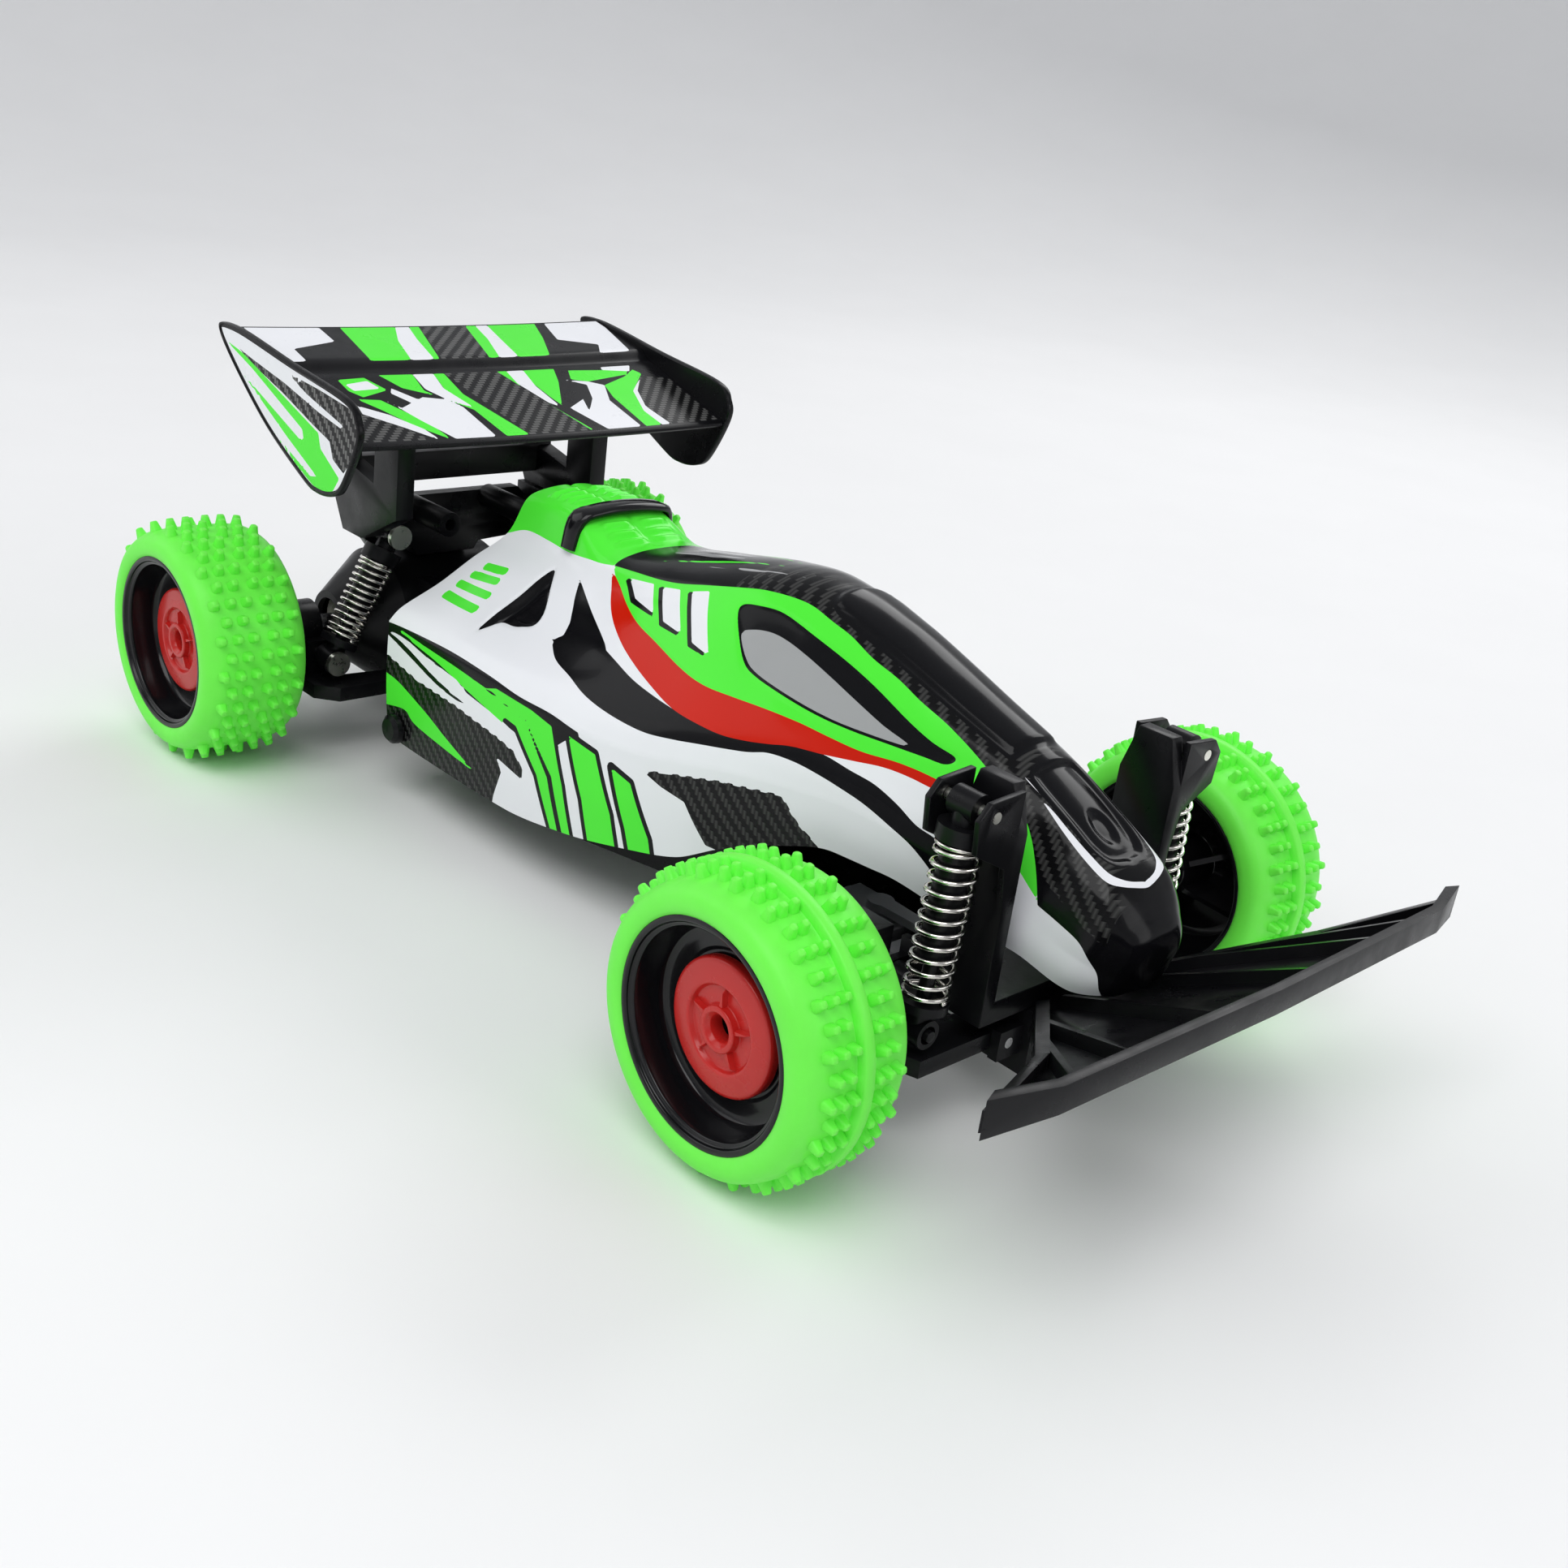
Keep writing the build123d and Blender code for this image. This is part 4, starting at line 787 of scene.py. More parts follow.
# Green streak and grey shards behind the windscreen, left side, (x, y).
STREAK = [(-20, 14.5), (4, 9.8), (30, 2.2), (6, 7.2)]
SHARDS = [[(2, 13.6), (18, 12.4), (40, 6.5), (22, 10)],
          [(-26, 5.4), (-4, 5.2), (12, 1.6), (-12, 1.4)]]


def both_sides(outlines):
    return [np.array(outline) * (1, side) for side in (1, -1) for outline in outlines]


def shell_layers(q):
    """Depth of each point inside every layer of the shell's livery."""
    layers = side_layers(q[:, (0, 2)])
    top = q[:, (0, 1)]
    high = over_crown(q)
    nose_line = union(top, both_sides([spline(NOSE_LINE, 4, True)]))
    streaks = union(top, both_sides([STREAK]))
    shards = union(top, both_sides(SHARDS))
    for name, depth in (("white_over", nose_line), ("green_over", streaks), ("grey", shards)):
        layers[name] = np.maximum(layers[name], np.where(high, depth, FAR))
    plain = union(top, [spline(mirrored(outline), 4, True) for outline in (WINDSCREEN, NOSE_PANEL)])
    plain = np.maximum(plain + PLAIN_MARGIN, (q[:, 0] - HOOD_FRONT_X) * 0.5)
    hood = np.where(high & (q[:, 0] > HOOD_BACK_X), 1.0, -1.0)
    hood = np.minimum(hood, depth_inside(q[:, (0, 2)], HOOD))
    layers["carbon"] = np.maximum(layers["carbon"], np.minimum(hood, -plain))
    layers["carbon"] = np.minimum(layers["carbon"], -layers["white_over"])
    return layers


def make_shell(material):
    """The painted shell: a fine outer skin and a coarse inner one."""
    outer = shell_grid()
    normals = grid_normals(outer)
    flat = outer.reshape(-1, 3)
    relief = shell_relief(flat, flat[:, (0, 2)], flat[:, (0, 1)]).reshape(*outer.shape[:2], 1)
    relief[-NOSE_STEPS - 3:] = 0
    inner = shell_inner(outer, normals, relief)
    item = shell_mesh(outer + normals * relief, inner)
    for name, depth in shell_layers(np.vstack([flat, inner.reshape(-1, 3)])).items():
        depth = np.array(depth)
        depth[len(flat):] = -1.0
        store(item, name, depth)
    finish_piece(item, material, "chassis", ("body_shell",), 50)
    return outer, normals


COVER_BAR = dict(reach=18.8, lowest=90, half_width=4.7, thick=2.4, corners=16, narrow=0.35, thin=0.25)


def make_cover_bar(outer, normals, material):
    """The glossy black bar that saddles the engine cover."""
    row = int(np.argmin(np.abs(outer[:ROWS, outer.shape[1] // 2, 0] - BAR_X)))
    section, out = outer[row], normals[row]
    reach = COVER_BAR["reach"]
    keep = np.where((np.abs(section[:, 1]) < reach) & (section[:, 2] > COVER_BAR["lowest"]))[0]
    rows = []
    for k in keep[::2]:
        share = abs(section[k, 1]) / reach
        width = COVER_BAR["half_width"] * (1 - COVER_BAR["narrow"] * max(0.0, share - 0.8) / 0.2)
        ring = []
        for a in np.arange(COVER_BAR["corners"]) * 2 * pi / COVER_BAR["corners"]:
            lift = 0.5 + COVER_BAR["thick"] * max(-0.3, sin(a)) * (1 - COVER_BAR["thin"] * share)
            ring.append(section[k] + out[k] * lift + np.array((width * squared(cos(a), 0.55), 0, 0)))
        rows.append(ring)
    build = Build()
    build.grid(rows, close_columns=True)
    build.cap(rows[0], flip=True)
    build.cap(rows[-1])
    finish_piece(build.make("cover_bar"), material, "chassis", (), 60)


# ------------------------------------------------------------------ wheels

WHEELS = {
    "front": dict(x=119.5, z=40.0, tip=40.0, y_in=70.5, y_out=105.5, web=93.9, hub=76.0),
    "rear": dict(x=-164.5, z=40.5, tip=40.5, y_in=67.0, y_out=103.5, web=91.5, hub=80.6),
}
BEAD_R = 28.5
STUD_PAIRS = 20         # pairs of stud rows round a tyre
STUD_HEIGHT = 3.1
STUD_COLUMNS = {"front": (6.9, 3.5), "rear": (5.4, 5.4)}    # outer column from the face, and the step inwards
STUD_HALF = {"front": 1.4, "rear": 1.6}    # half width of a stud's foot


STUD_RINGS = ((-0.6, 1.25), (0.15, 1.08), (0.6, 1.0), (2.5, 0.72), (2.9, 0.66), (STUD_HEIGHT, 0.5))
STUD_SQUARE = 0.6    # below 1, the smaller the squarer
STUD_LEAN = 16       # degrees, of the outermost studs
STUD_SHIFT = {"front": 0.25, "rear": 0.5}    # how far the inner half's rows run behind, in pitches


def squared(part, power):
    """A sine or cosine pushed out towards the corners of a square."""
    return np.sign(part) * abs(part) ** power


def spoke(angle):
    """The ways away from a wheel's axis and round it."""
    return np.array((cos(angle), 0, sin(angle))), np.array((-sin(angle), 0, cos(angle)))


def stud(build, root, axis, out, around, half_width):
    """One rounded square stud standing on the tread."""
    rings = []
    for height, share in STUD_RINGS:
        ring = []
        for a in (np.arange(12) + 0.5) * 2 * pi / 12:
            across = axis * squared(cos(a), STUD_SQUARE) + around * squared(sin(a), STUD_SQUARE)
            ring.append(root + out * height + half_width * share * across)
        rings.append(ring)
    build.grid(rings, close_columns=True)
    build.cap(rings[-1])
    build.cap(rings[0], flip=True)


def tread_radius(spec, a, width):
    """Radius of the tread at a distance a from the outer face: a slight crown with rounded shoulders."""
    edge = abs(2 * a / width - 1)
    return spec["tip"] - STUD_HEIGHT + 0.1 - 1.7 * edge ** 3.2


def stud_places(end, width):
    """Angle and distance from the outer face of each stud, in rows of three and of two by turns."""
    pitch = 2 * pi / STUD_PAIRS
    reach, gap = STUD_COLUMNS[end]
    for k in range(STUD_PAIRS):
        for start, outer in ((0.0, True), (STUD_SHIFT[end], False)):
            for columns, shift in (((0, 1, 2), 0.0), ((0.5, 1.5), 0.5)):
                angle = (k + start + shift) * pitch
                for column in columns:
                    yield angle, reach + column * gap if outer else width - reach - column * gap


def make_tyre(end, side_name, side, material):
    """Tyre with rounded walls, a crowned tread and its studs; the front one has a middle rib."""
    spec = WHEELS[end]
    width = spec["y_out"] - spec["y_in"]
    tread = [(a, tread_radius(spec, a, width)) for a in np.linspace(4.4, width - 4.4, 15)]
    if end == "front":
        tread = [(a, r) for a, r in tread if abs(a - width / 2) > 2.7]
        rib = [(-2.6, 0), (-2.1, 0.3), (-1.7, 2.3), (-1.2, 2.7), (1.2, 2.7), (1.7, 2.3), (2.1, 0.3), (2.6, 0)]
        crown = tread_radius(spec, width / 2, width)
        half = len(tread) // 2
        tread = tread[:half] + [(width / 2 + a, crown + h) for a, h in rib] + tread[half:]
    wall_in = [(2.2, BEAD_R), (1.0, BEAD_R + 0.3), (0.25, BEAD_R + 1.3), (0.0, BEAD_R + 3),
               (0.2, BEAD_R + 4.8), (0.9, BEAD_R + 6.2), (2.2, BEAD_R + 7.2)]
    wall_out = [(width - a, r) for a, r in reversed(wall_in)]
    outline = wall_in + tread + wall_out
    build = Build()
    revolve(build, [(spec["y_out"] - a, r) for a, r in outline], spec["x"], spec["z"], side, 120, closed=True)
    axis = np.array((0, side, 0))
    for angle, a in stud_places(end, width):
        out, around = spoke(angle)
        lean = radians(STUD_LEAN) * (1 - 2 * a / width) * abs(1 - 2 * a / width)
        up = out * cos(lean) + axis * sin(lean)
        root = np.array((spec["x"], side * (spec["y_out"] - a), spec["z"]))
        root = root + out * tread_radius(spec, a, width)
        stud(build, root, axis * cos(lean) - out * sin(lean), up, around, STUD_HALF[end])
    item = make_object(f"{end}_tyre_skin_{side_name}", build.points, build.faces)
    weld(item)
    finish_piece(item, material, f"{end}_wheel_{side_name}", (f"{end}_tyre_{side_name}",), 45)


def make_rim(end, side_name, side, material):
    """Deep dish rim with a stepped lip, a dished web and a hub tube behind it."""
    spec = WHEELS[end]
    y_in, y_out, web, hub = spec["y_in"], spec["y_out"], spec["web"], spec["hub"]
    outline = [(hub, 3.2), (hub, 7.0), (hub + 1.2, 7.6), (web - 4.2, 8.4), (web - 3.2, 12), (web - 2.6, 22),
               (web - 3.2, 24.2), (web - 5.5, 26.0), (y_in + 3, 26.6), (y_in + 1.2, 27.2), (y_in + 0.9, 28.2),
               (y_in + 1.1, 29.0), (y_in + 2.0, 29.1), (y_in + 2.4, 28.4), (y_out - 2.4, 28.4),
               (y_out - 2.0, 29.1), (y_out - 1.1, 29.1), (y_out - 0.75, 28.7), (y_out - 0.7, 27.9),
               (y_out - 0.9, 27.3), (y_out - 1.7, 27.1), (y_out - 2.0, 26.7), (y_out - 2.2, 26.0),
               (y_out - 3.0, 25.8), (web + 2.2, 25.1), (web + 0.8, 24.5), (web + 0.2, 23.2), (web, 21.8),
               (web, 18.8), (web + 0.6, 18.2), (web + 0.6, 3.2)]
    build = Build()
    revolve(build, rounded(outline, [0.5] * len(outline), 3), spec["x"], spec["z"], side, 96, closed=True)
    for k in range(6):
        turn = (k + 0.5) * pi / 3
        rib_gusset(build, spec, side, turn, hub + 1.5, web - 2.8, 7.6, 22.5)
    finish_piece(build.make(f"{end}_rim_skin_{side_name}"), material, f"{end}_wheel_{side_name}",
                 (f"{end}_rim_{side_name}",), 35)


def rib_gusset(build, spec, side, turn, y0, y1, r0, r1):
    """A thin web behind the dish that braces the hub."""
    out, around = spoke(turn)
    around = around * 0.8
    centre = np.array((spec["x"], 0, spec["z"]))
    corners = [centre + out * r + np.array((0, side * y, 0))
               for y, r in ((y0, r0 - 1.2), (y1, r0 - 1.2), (y1 + 0.6, r1), (y1 - 2.0, r1), (y0, r0 + 1.0))]
    near = [c - around for c in corners]
    far = [c + around for c in corners]
    count = len(corners)
    faces = [tuple(range(count)), tuple(range(2 * count - 1, count - 1, -1))]
    faces += [(k, k + count, (k + 1) % count + count, (k + 1) % count) for k in range(count)]
    build.add(near + far, faces)


def make_hub_disc(end, side_name, side, material):
    """Red centre disc: a dished ring, a sunken floor, a boss with a bore and five pointed ribs."""
    spec = WHEELS[end]
    back, face = spec["web"] + 0.65, spec["web"] + 4.8
    outline = [(back, 3.2), (back, 17.0), (back + 0.6, 17.5), (face - 1.6, 17.5), (face - 0.9, 17.2),
               (face - 0.6, 16.5), (face - 0.1, 11.6), (face - 0.25, 11.0), (face - 1.5, 10.4),
               (face - 1.5, 6.3), (face - 1.2, 6.1), (face + 0.35, 5.9), (face + 0.6, 5.6), (face + 0.6, 4.6),
               (face + 0.4, 4.3), (face - 0.6, 3.4), (face - 2.6, 3.2)]
    build = Build()
    revolve(build, rounded(outline, [0.3] * len(outline), 3), spec["x"], spec["z"], side, 80, closed=True)
    centre = np.array((spec["x"], 0, spec["z"]))
    for k in range(5):
        out, around = spoke(pi / 2 + k * 2 * pi / 5)
        floor, crest = side * (face - 1.55), side * (face + 0.05)
        foot = [centre + out * r + around * w + np.array((0, floor, 0))
                for r, w in ((5.8, 0.9), (10.8, 0.2), (10.8, -0.2), (5.8, -0.9))]
        top = [centre + out * r + around * w + np.array((0, crest, 0))
               for r, w in ((5.8, 0.55), (9.6, 0.1), (9.6, -0.1), (5.8, -0.55))]
        build.add(foot + top, [(0, 1, 2, 3), (7, 6, 5, 4), (0, 4, 5, 1), (1, 5, 6, 2), (2, 6, 7, 3),
                               (3, 7, 4, 0)])
    finish_piece(build.make(f"{end}_disc_skin_{side_name}"), material, f"{end}_wheel_{side_name}",
                 (f"{end}_hub_disc_{side_name}",), 35)


# ------------------------------------------------------------------ shocks

SHOCKS = {
    "front": dict(x=136.5, top=(42.4, 93.0), low=(47.4, 33.0), start=9.0, end=51.5, turns=13),
    "rear": dict(x=-145.5, top=(27.1, 76.6), low=(49.7, 33.5), start=10.6, end=40.5, turns=13),
}
COIL_R = 5.68
WIRE_R = 0.62


def make_spring(end, side_name, side, material):
    """A real coil, with its last turns wound flat, between the two shock bodies."""
    spec = SHOCKS[end]
    top = np.array((spec["x"], side * spec["top"][0], spec["top"][1]))
    low = np.array((spec["x"], side * spec["low"][0], spec["low"][1]))
    way = (low - top) / np.linalg.norm(low - top)
    across = np.array((1.0, 0.0, 0.0))
    other = np.cross(way, across)
    turns, per = spec["turns"], 26
    first, last = spec["start"] + WIRE_R + 0.1, spec["end"] - WIRE_R - 0.1
    flat = WIRE_R * 2.0
    path = []
    for k in range(turns * per + 1):
        turn = k / per
        if turn < 1:
            s = first + flat * turn
        elif turn > turns - 1:
            s = last - flat * (turns - turn)
        else:
            s = first + flat + (last - first - 2 * flat) * (turn - 1) / (turns - 2)
        angle = 2 * pi * turn
        path.append(top + way * s + COIL_R * (across * cos(angle) + other * sin(angle)))
    build = Build()
    build.tube(path, WIRE_R, 8)
    item = build.make(f"{end}_spring_coil_{side_name}")
    item.data.materials.append(material)
    item.data.shade_smooth()
    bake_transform(item)
    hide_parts(f"{end}_shock_spring_{side_name}")


# ------------------------------------------------------------------ rear wing

WING_TOP = [(-92.5, 123.6), (-133, 135), (-136.5, 135.6), (-140.2, 138.6), (-168.8, 143.5)]
WING_SKIN = 2.0
WING_HALF = 72.0
PLATE_OUT = 74.5
PLATE = [(-178, 139.6), (-170, 143.8), (-132.3, 140), (-98, 136.4), (-90.5, 131), (-90, 124), (-98, 109),
         (-104, 104.6), (-113, 103.2), (-123, 105.5), (-150, 118.5)]
FLAP_PRINT = {
    "white_over": [
        [(-170, -73), (-170, -44), (-156, -45), (-150, -63), (-139, -64), (-139, -73)],
        [(-170, -14), (-170, -9), (-157, -13), (-139, -17), (-139, -26), (-156, -21)],
        [(-170, 18), (-170, 23), (-155, 20), (-139, 17), (-139, 9), (-156, 15)],
        [(-170, 48), (-170, 73), (-139, 66), (-139, 52), (-147, 57), (-153, 43)],
    ],
    "green": [
        [(-170, -36), (-170, -14), (-156, -21), (-139, -26), (-139, -41)],
        [(-170, -9), (-170, -5), (-139, -15), (-139, -17), (-157, -13)],
        [(-170, 14), (-170, 18), (-156, 15), (-139, 9), (-139, 5)],
        [(-170, 23), (-170, 44), (-155, 38), (-139, 30), (-139, 17), (-155, 20)],
    ],
    "carbon": [
        [(-170, -5), (-170, 14), (-139, 5), (-139, -14)],
    ],
}
MAIN_PRINT = {
    "white_over": [
        [(-134, -29), (-134, -21), (-124, -23), (-111, -19), (-117, -26), (-124, -30)],
        [(-134, 8), (-134, 15), (-123, 13), (-109, 14), (-112, 11), (-125, 7)],
        [(-126, 27), (-122, 34), (-113, 30), (-105, 23), (-113, 26), (-108, 17), (-93, 23), (-93, 37),
         (-111, 36), (-121, 41), (-124, 36)],
        [(-133, 48), (-133, 61), (-129, 58), (-131, 47)],
        [(-127, 62), (-116, 52), (-105, 48), (-93, 50), (-93, 46), (-103, 45), (-116, 50)],
        [(-128, -57), (-130, -48), (-125, -46), (-124, -56)],
        [(-125, -42), (-104, -26), (-111, -37), (-122, -44)],
        [(-121, -53), (-117, -48), (-105, -43), (-93, -37), (-93, -22), (-112, -23), (-117, -26),
         (-119, -34), (-113, -45), (-111, -43)],
        [(-115, -60), (-109, -52), (-100, -45), (-93, -43), (-102, -52), (-110, -61)],
    ],
    "green": [
        [(-134, -42), (-134, -29), (-123, -31), (-110, -20), (-93, -18), (-93, -9), (-114, -19),
         (-125, -38)],
        [(-134, -21), (-134, -17), (-120, -18), (-93, -9), (-93, -13), (-111, -19), (-123, -23)],
        [(-134, 4), (-134, 8), (-123, 7), (-107, 12), (-93, 17), (-98, 11)],
        [(-134, 15), (-134, 28), (-125, 24), (-110, 15), (-116, 14), (-126, 13)],
        [(-132, 33), (-130, 58), (-127, 55), (-124, 36), (-126, 30)],
        [(-130, 60), (-127, 62), (-116, 50), (-103, 45), (-93, 46), (-93, 39), (-113, 39), (-121, 41),
         (-126, 54)],
        [(-131, -58), (-132, -48), (-124, -44), (-120, -55), (-124, -58)],
        [(-119, -58), (-118, -50), (-103, -41), (-93, -39), (-102, -47), (-112, -53)],
    ],
    "carbon": [
        [(-134, -17), (-134, 4), (-93, 16), (-93, -9)],
        [(-110, -61), (-102, -52), (-93, -46), (-93, -73), (-104, -73)],
        [(-125, 60), (-123, 73), (-93, 73), (-93, 50), (-106, 48), (-116, 52)],
    ],
}


FLAP_FRONT_X = -138
MAIN_BACK_X = -135
STEP_X = (-140.4, -133.5)    # the plain step between the two prints
PRINT_EDGE = dict(span=0.8, front=-93.6, back=-168)    # plain border round the wing's stickers
SAG = 0.9                    # the middle of the wing lies this much lower than its ends


def wing_print(x, y):
    """Depth of each point inside the wing's stickers, seen from above."""
    q = np.column_stack([x, y])
    layers = {}
    for name in FLAP_PRINT:
        flap = np.where(x < FLAP_FRONT_X, union(q, FLAP_PRINT[name]), FAR)
        main = np.where(x > MAIN_BACK_X, union(q, MAIN_PRINT[name]), FAR)
        layers[name] = np.maximum(flap, main)
    return layers


def wing_outline():
    """Closed section of the wing: its top from the front edge back, then its underside."""
    top = rounded(WING_TOP, [0, 6, 2.5, 2.5, 0], 5)
    under = top - np.array((0.35, WING_SKIN))
    nose = [(-92.1, 121.6), (-91.5, 122.2), (-91.6, 123.0)]
    edge = [(-168.9, 142.4), (-168.6, 141.8)]
    dense = [top[0]]
    for a, b in zip(top, top[1:]):
        count = max(1, int(np.linalg.norm(b - a) / 1.0))
        dense += [a + (b - a) * (k + 1) / count for k in range(count)]
    return np.vstack([nose, dense, edge, under[::-1]])


def make_wing(material):
    outline = wing_outline()
    rows = [[(x, y, z - SAG * (1 - (y / WING_HALF) ** 2)) for x, z in outline]
            for y in np.linspace(-WING_HALF, WING_HALF, 145)]
    build = Build()
    build.grid(rows, close_columns=True)
    build.cap(rows[0])
    build.cap(rows[-1], flip=True)
    item = build.make("wing_skin")
    x, y, z = np.transpose([v.co for v in item.data.vertices]) / MM
    height = np.interp(-x, [-a for a, b in WING_TOP], [b for a, b in WING_TOP])
    upper = z > height - 1.6
    ends = np.minimum(WING_HALF - PRINT_EDGE["span"] - np.abs(y), PRINT_EDGE["front"] - x)
    inside = np.minimum(ends, x - PRINT_EDGE["back"])
    inside = np.minimum(inside, np.where((x > STEP_X[0]) & (x < STEP_X[1]), -1.0, -FAR))
    for name, depth in wing_print(x, y).items():
        store(item, name, np.minimum(np.where(upper, depth, -1.0), inside))
    finish_piece(item, material, "chassis", ("rear_wing",), 30)


PLATE_PRINT = {
    "white_over": [
        [(-190, 90), (-190, 150), (-80, 150), (-80, 90)],
    ],
    "green_over": [
        [(-175, 138.3), (-156, 132.7), (-123.5, 121), (-122, 116.5), (-164, 130.3), (-133, 116.3),
         (-114, 108.4), (-118, 107.5), (-149, 118.4), (-128, 107), (-117, 101), (-108, 101),
         (-100.4, 111.2), (-112, 117.7), (-113.5, 122.2), (-145.5, 131.5), (-163, 136.5)],
    ],
    "carbon": [
        [(-168, 137.9), (-156.7, 135.9), (-135, 132.8), (-114, 128.7), (-99.4, 126.7), (-98.9, 127.9),
         (-121, 132.5), (-133.3, 136.5), (-114, 135.6), (-95, 134), (-90, 131), (-90, 122), (-98, 113.5),
         (-104.5, 116.2), (-106.6, 121.3), (-117, 124), (-136, 129.5), (-153.4, 133.6)],
    ],
}


PLATE_RIM = 1.6      # width of the plate's rounded rim
PLATE_DISH = 0.35    # the printed face lies this much below the rim
FACE_RINGS = (0.9, 0.75, 0.6, 0.45, 0.3, 0.15, 0.02)


def make_end_plate(side_name, side, material):
    """Rounded end plate with a raised dark rim and a printed face."""
    outline = spline(PLATE, 7, closed=True)
    middle = outline.mean(0)
    away = outline - middle
    away = away / np.linalg.norm(away, axis=1, keepdims=True)
    outer, inner = PLATE_OUT, WING_HALF
    steps = [(inner, 0.6), (inner + 0.3, 0.15), (inner + 0.9, 0), (outer - 0.7, 0), (outer - 0.15, 0.2),
             (outer, 0.7), (outer, 1.2), (outer - PLATE_DISH, PLATE_RIM)]
    rows = [[(x, side * y, z) for x, z in outline - away * inset] for y, inset in steps]
    build = Build()
    build.grid(rows, close_columns=True)
    for share in FACE_RINGS:
        face = middle + (outline - away * PLATE_RIM - middle) * share
        rows.append([(x, side * (outer - PLATE_DISH), z) for x, z in face])
    build.grid(rows[-len(FACE_RINGS) - 1:], close_columns=True)
    back = [[(x, side * inner, z) for x, z in middle + (outline - away * 0.6 - middle) * share]
            for share in (1, 0.6, 0.3, 0.02)]
    build.grid(back, close_columns=True)
    build.cap(rows[-1])
    build.cap(back[-1])
    item = build.make(f"wing_plate_{side_name}")
    work = bmesh.new()
    work.from_mesh(item.data)
    bmesh.ops.triangulate(work, faces=work.faces)
    bmesh.ops.subdivide_edges(work, edges=[e for e in work.edges if e.calc_length() > 2.5 * MM], cuts=2)
    bmesh.ops.triangulate(work, faces=work.faces)
    work.to_mesh(item.data)
    work.free()
    co = np.array([v.co for v in item.data.vertices]) / MM
    outside = np.abs(co[:, 1]) > outer - PLATE_DISH - 0.1
    q = co[:, (0, 2)]
    inside = depth_inside(q, outline) - PLATE_RIM - 0.1
    for name, outlines in PLATE_PRINT.items():
        values = np.minimum(union(q, [np.array(o) for o in outlines]), inside)
        store(item, name, np.where(outside, values, -1.0))
    finish_piece(item, material, "chassis", (), 30)


# ------------------------------------------------------------------ softened black parts

def soften(node, material, width=0.35, angle=32):
    """A copy of a CAD part with its sharp moulded edges rounded."""
    source = frame["nodes"][node]
    mesh = source.data.copy()
    item = bpy.data.objects.new(node + "_moulding", mesh)
    bpy.context.scene.collection.objects.link(item)
    work = bmesh.new()
    work.from_mesh(mesh)
    bmesh.ops.remove_doubles(work, verts=work.verts, dist=0.002 * MM)
    bmesh.ops.dissolve_limit(work, angle_limit=radians(1.0), verts=work.verts, edges=work.edges)
    work.to_mesh(mesh)
    work.free()
    bevel = item.modifiers.new("Round", "BEVEL")
    bevel.width = width * MM
    bevel.segments = 2
    bevel.limit_method = "ANGLE"
    bevel.angle_limit = radians(angle)
    bevel.use_clamp_overlap = True
    bpy.context.view_layer.update()
    shaped = bpy.data.meshes.new_from_object(item.evaluated_get(bpy.context.evaluated_depsgraph_get()))
    item.modifiers.clear()
    item.data = shaped
    weld(item)
    finish_piece(item, material, NODE_BODY[node], (node,), 30)


CROSS_HALF = 0.42     # half width of a slot of the cross recess
CROSS_REACH = 0.46    # half length of the slot, as a share of the head's radius
SOFTENED = ("front_bumper", "front_shock_tower", "rear_shock_tower", "wing_support", "front_arm_left",
            "front_arm_right", "rear_arm_left", "rear_arm_right", "knuckle_left", "knuckle_right")


def screw_head(name, centre, way, radius, body, material, thick=1.7):
    """A washer head screw with a cross recess."""
    way = np.asarray(way, float) / np.linalg.norm(way)
    side = np.cross(way, (0.0, 0.2, 1.0))
    side /= np.linalg.norm(side)
    other = np.cross(way, side)
    rows = []
    profile = [(0.0, 1.0), (0.35, 1.02), (0.5, 0.98), (0.55, 0.82), (0.8, 0.78), (1.2, 0.68), (1.5, 0.5)]
    count = 48
    for height, share in profile:
        rows.append([(height, share * radius, 2 * pi * k / count) for k in range(count)])
    for share in np.linspace(0.49, 0.02, 18):
        rows.append([(1.6, share * radius, 2 * pi * k / count) for k in range(count)])
    points = []
    for row in rows:
        ring = []
        for height, r, a in row:
            u, v = r * cos(a), r * sin(a)
            along, wide = CROSS_REACH * radius, CROSS_HALF
            arm = max(min(wide - abs(u), along - abs(v)), min(wide - abs(v), along - abs(u)))
            sink = float(np.clip(arm / 0.25 + 0.3, 0, 1)) if height > 1.4 else 0.0
            ring.append(np.asarray(centre) + way * (height * thick / 1.6 - sink) + side * u + other * v)
        points.append(ring)
    build = Build()
    build.grid(points, close_columns=True)
    build.cap(points[-1])
    build.cap(points[0], flip=True)
    finish_piece(build.make(name), material, body, (), 35)


# ------------------------------------------------------------------ camera, light, floor

def place_camera():
    look = Vector((-0.64489, 0.65567, -0.39269)).normalized()
    roll = radians(7.68)
    level = look.cross(Vector((0, 0, 1))).normalized()
    above = level.cross(look)
    right = level * cos(roll) + above * sin(roll)
    up = above * cos(roll) - level * sin(roll)
    data = bpy.data.cameras.new("camera")
    data.sensor_width = 36.0
    data.lens = 2202.79 / 1932 * 36.0
    data.clip_start = 0.01
    camera = bpy.data.objects.new("camera", data)
    bpy.context.scene.collection.objects.link(camera)
    place = Matrix((right, up, -look)).transposed().to_4x4()
    place.translation = Vector((0.37730, -0.34992, 0.25752))
    camera.matrix_world = place
    bpy.context.scene.camera = camera


def add_light(name, place, aim, size, power):
    data = bpy.data.lights.new(name, "AREA")
    data.shape = "RECTANGLE"
    data.size, data.size_y = size
    data.energy = power
    light = bpy.data.objects.new(name, data)
    bpy.context.scene.collection.objects.link(light)
    light.location = place
    light.rotation_euler = (Vector(aim) - Vector(place)).to_track_quat("-Z", "Y").to_euler()


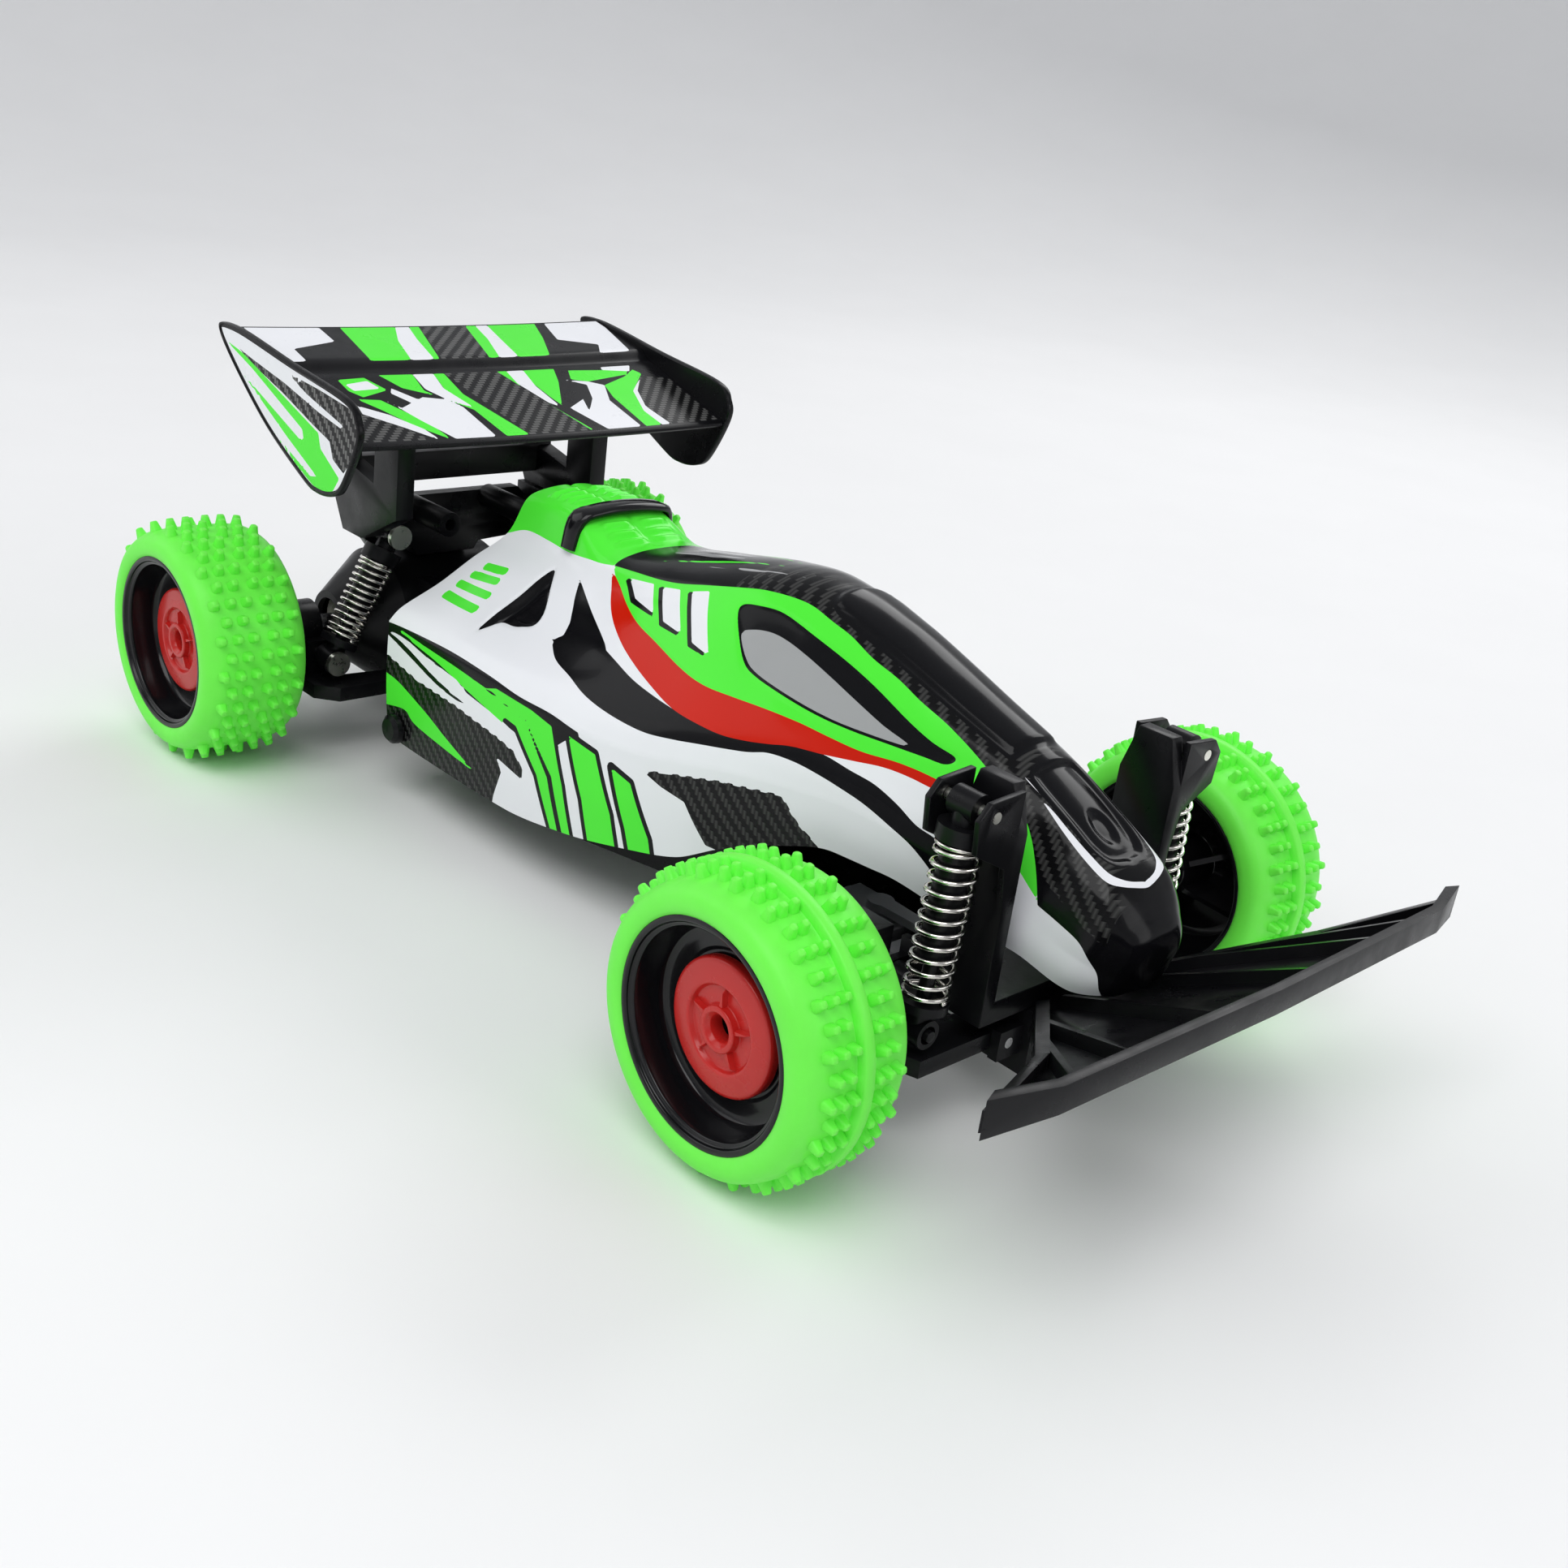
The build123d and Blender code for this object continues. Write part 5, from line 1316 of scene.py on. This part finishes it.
FLOOR_Z = -0.05       # the floor lies just under the tyre studs
FLOOR_FLAT = 1300     # radius of the flat part
FLOOR_ROUND = 1600    # radius of the rise round it


def make_stage():
    world = bpy.data.worlds.new("studio")
    bpy.context.scene.world = world
    world.use_nodes = True
    world.node_tree.nodes["Background"].inputs["Color"].default_value = (0.93, 0.95, 1.0, 1.0)
    world.node_tree.nodes["Background"].inputs["Strength"].default_value = 0.42
    n = Nodes("floor_paper")
    n.set(Base_Color=n.mix(n.noise(9.0), (0.86, 0.86, 0.86), (0.90, 0.90, 0.90)))
    n.set(Roughness=0.9)
    n.bump(n.noise(700.0), 0.08, 0.0001)
    outline = [(0.001, FLOOR_Z), (600, FLOOR_Z), (FLOOR_FLAT, FLOOR_Z)]
    outline += [(FLOOR_FLAT + FLOOR_ROUND * sin(t), FLOOR_Z + FLOOR_ROUND * (1 - cos(t)))
                for t in np.linspace(0.06, pi / 2, 20)]
    rows = [[(r * cos(a), r * sin(a), z) for a in np.arange(96) * 2 * pi / 96] for r, z in outline]
    build = Build()
    build.grid(rows, close_columns=True)
    floor = make_object("floor", build.points, build.faces)
    floor.data.shade_smooth()
    floor.data.materials.append(n.material)
    add_light("key", (0.5, -0.9, 1.5), (0, 0, 0.05), (1.4, 1.0), 15)
    add_light("fill", (-1.2, -0.8, 0.9), (0, 0, 0.05), (1.2, 1.2), 5)
    add_light("back", (-0.3, 1.3, 1.1), (0, 0, 0.05), (1.4, 0.6), 9)
    add_light("front", (1.4, 0.5, 0.7), (0, 0, 0.05), (0.9, 0.9), 4)
    bpy.context.scene.view_settings.view_transform = "Standard"


# ------------------------------------------------------------------ build the scene

PLASTIC_BLACK = (0.005, 0.005, 0.006)


def slot_materials():
    return {
        "black_plastic": moulded("black_satin", PLASTIC_BLACK, 0.24, 0.4, gloss=0.17),
        "shell": moulded("shell_white", WHITE, 0.15, 0.25, coat=0.2),
        "wing": moulded("wing_black", PLASTIC_BLACK, 0.2, 0.34, gloss=0.17),
        "green_rubber": rubber("tyre_rubber"),
        "rim_black": moulded("rim_gloss", PLASTIC_BLACK, 0.10, 0.2, coat=0.1, depth=0.00003, gloss=0.25),
        "hub_red": moulded("disc_red", (0.50, 0.016, 0.013), 0.2, 0.32, coat=0.1, depth=0.00003),
        "spring_steel": metal("spring_chrome", (0.80, 0.77, 0.72), 0.08, 0.2),
        "screw_steel": metal("screw_zinc", (0.80, 0.80, 0.72), 0.24, 0.4),
        "steel": metal("pin_steel", (0.55, 0.55, 0.56), 0.2, 0.38),
        "grey_plastic": moulded("grey_plastic", (0.16, 0.16, 0.17), 0.3, 0.5),
        "gear_plastic": moulded("gear_nylon", (0.72, 0.70, 0.62), 0.35, 0.5),
        "board": moulded("board_green", (0.02, 0.16, 0.05), 0.3, 0.45),
        "cells": moulded("cell_wrap", (0.04, 0.10, 0.32), 0.25, 0.4),
    }


def main():
    place_camera()
    make_stage()
    kinds = slot_materials()
    shell_paint = printed("shell_livery", WHITE,
                          ("black", "red", "green", "black_over", "white_over", "carbon", "green_over",
                           "grey"), (0, 2), 1.25, (0.12, 0.2), 0.05)
    wing_paint = printed("wing_livery", BLACK, ("green", "white_over", "carbon"),
                         (0, 1), 1.3, (0.24, 0.36), 0.13)
    plate_paint = printed("plate_livery", BLACK, ("white_over", "carbon", "green_over"),
                          (0, 2), 1.3, (0.24, 0.34), 0.17)
    for node, item in frame["nodes"].items():
        if not item.material_slots:
            item.data.materials.append(None)
        for place in item.material_slots:
            place.material = kinds[NODE_SLOT[node]]
    outer, normals = make_shell(shell_paint)
    make_cover_bar(outer, normals, kinds["rim_black"])
    for side_name, side in SIDES:
        for end in ("front", "rear"):
            make_tyre(end, side_name, side, kinds["green_rubber"])
            make_rim(end, side_name, side, kinds["rim_black"])
            make_hub_disc(end, side_name, side, kinds["hub_red"])
            make_spring(end, side_name, side, kinds["spring_steel"])
    for node in SOFTENED:
        soften(node, kinds[NODE_SLOT[node]])
    for side_name, side in SIDES:
        top_y, top_z = SHOCKS["rear"]["top"]
        screw_head(f"rear_top_screw_{side_name}", (-141.0, side * top_y, top_z), (1, 0, 0), 4.2, "chassis",
                   kinds["screw_steel"])
        low_y, low_z = SHOCKS["rear"]["low"]
        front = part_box(f"rear_shock_screw_{side_name}")[1][0] / MM
        screw_head(f"rear_low_screw_{side_name}", (front - 1.8, side * low_y, low_z), (1, 0, 0), 3.6,
                   f"rear_arm_{side_name}_body", kinds["screw_steel"])
    make_wing(wing_paint)
    for side_name, side in SIDES:
        make_end_plate(side_name, side, plate_paint)


main()
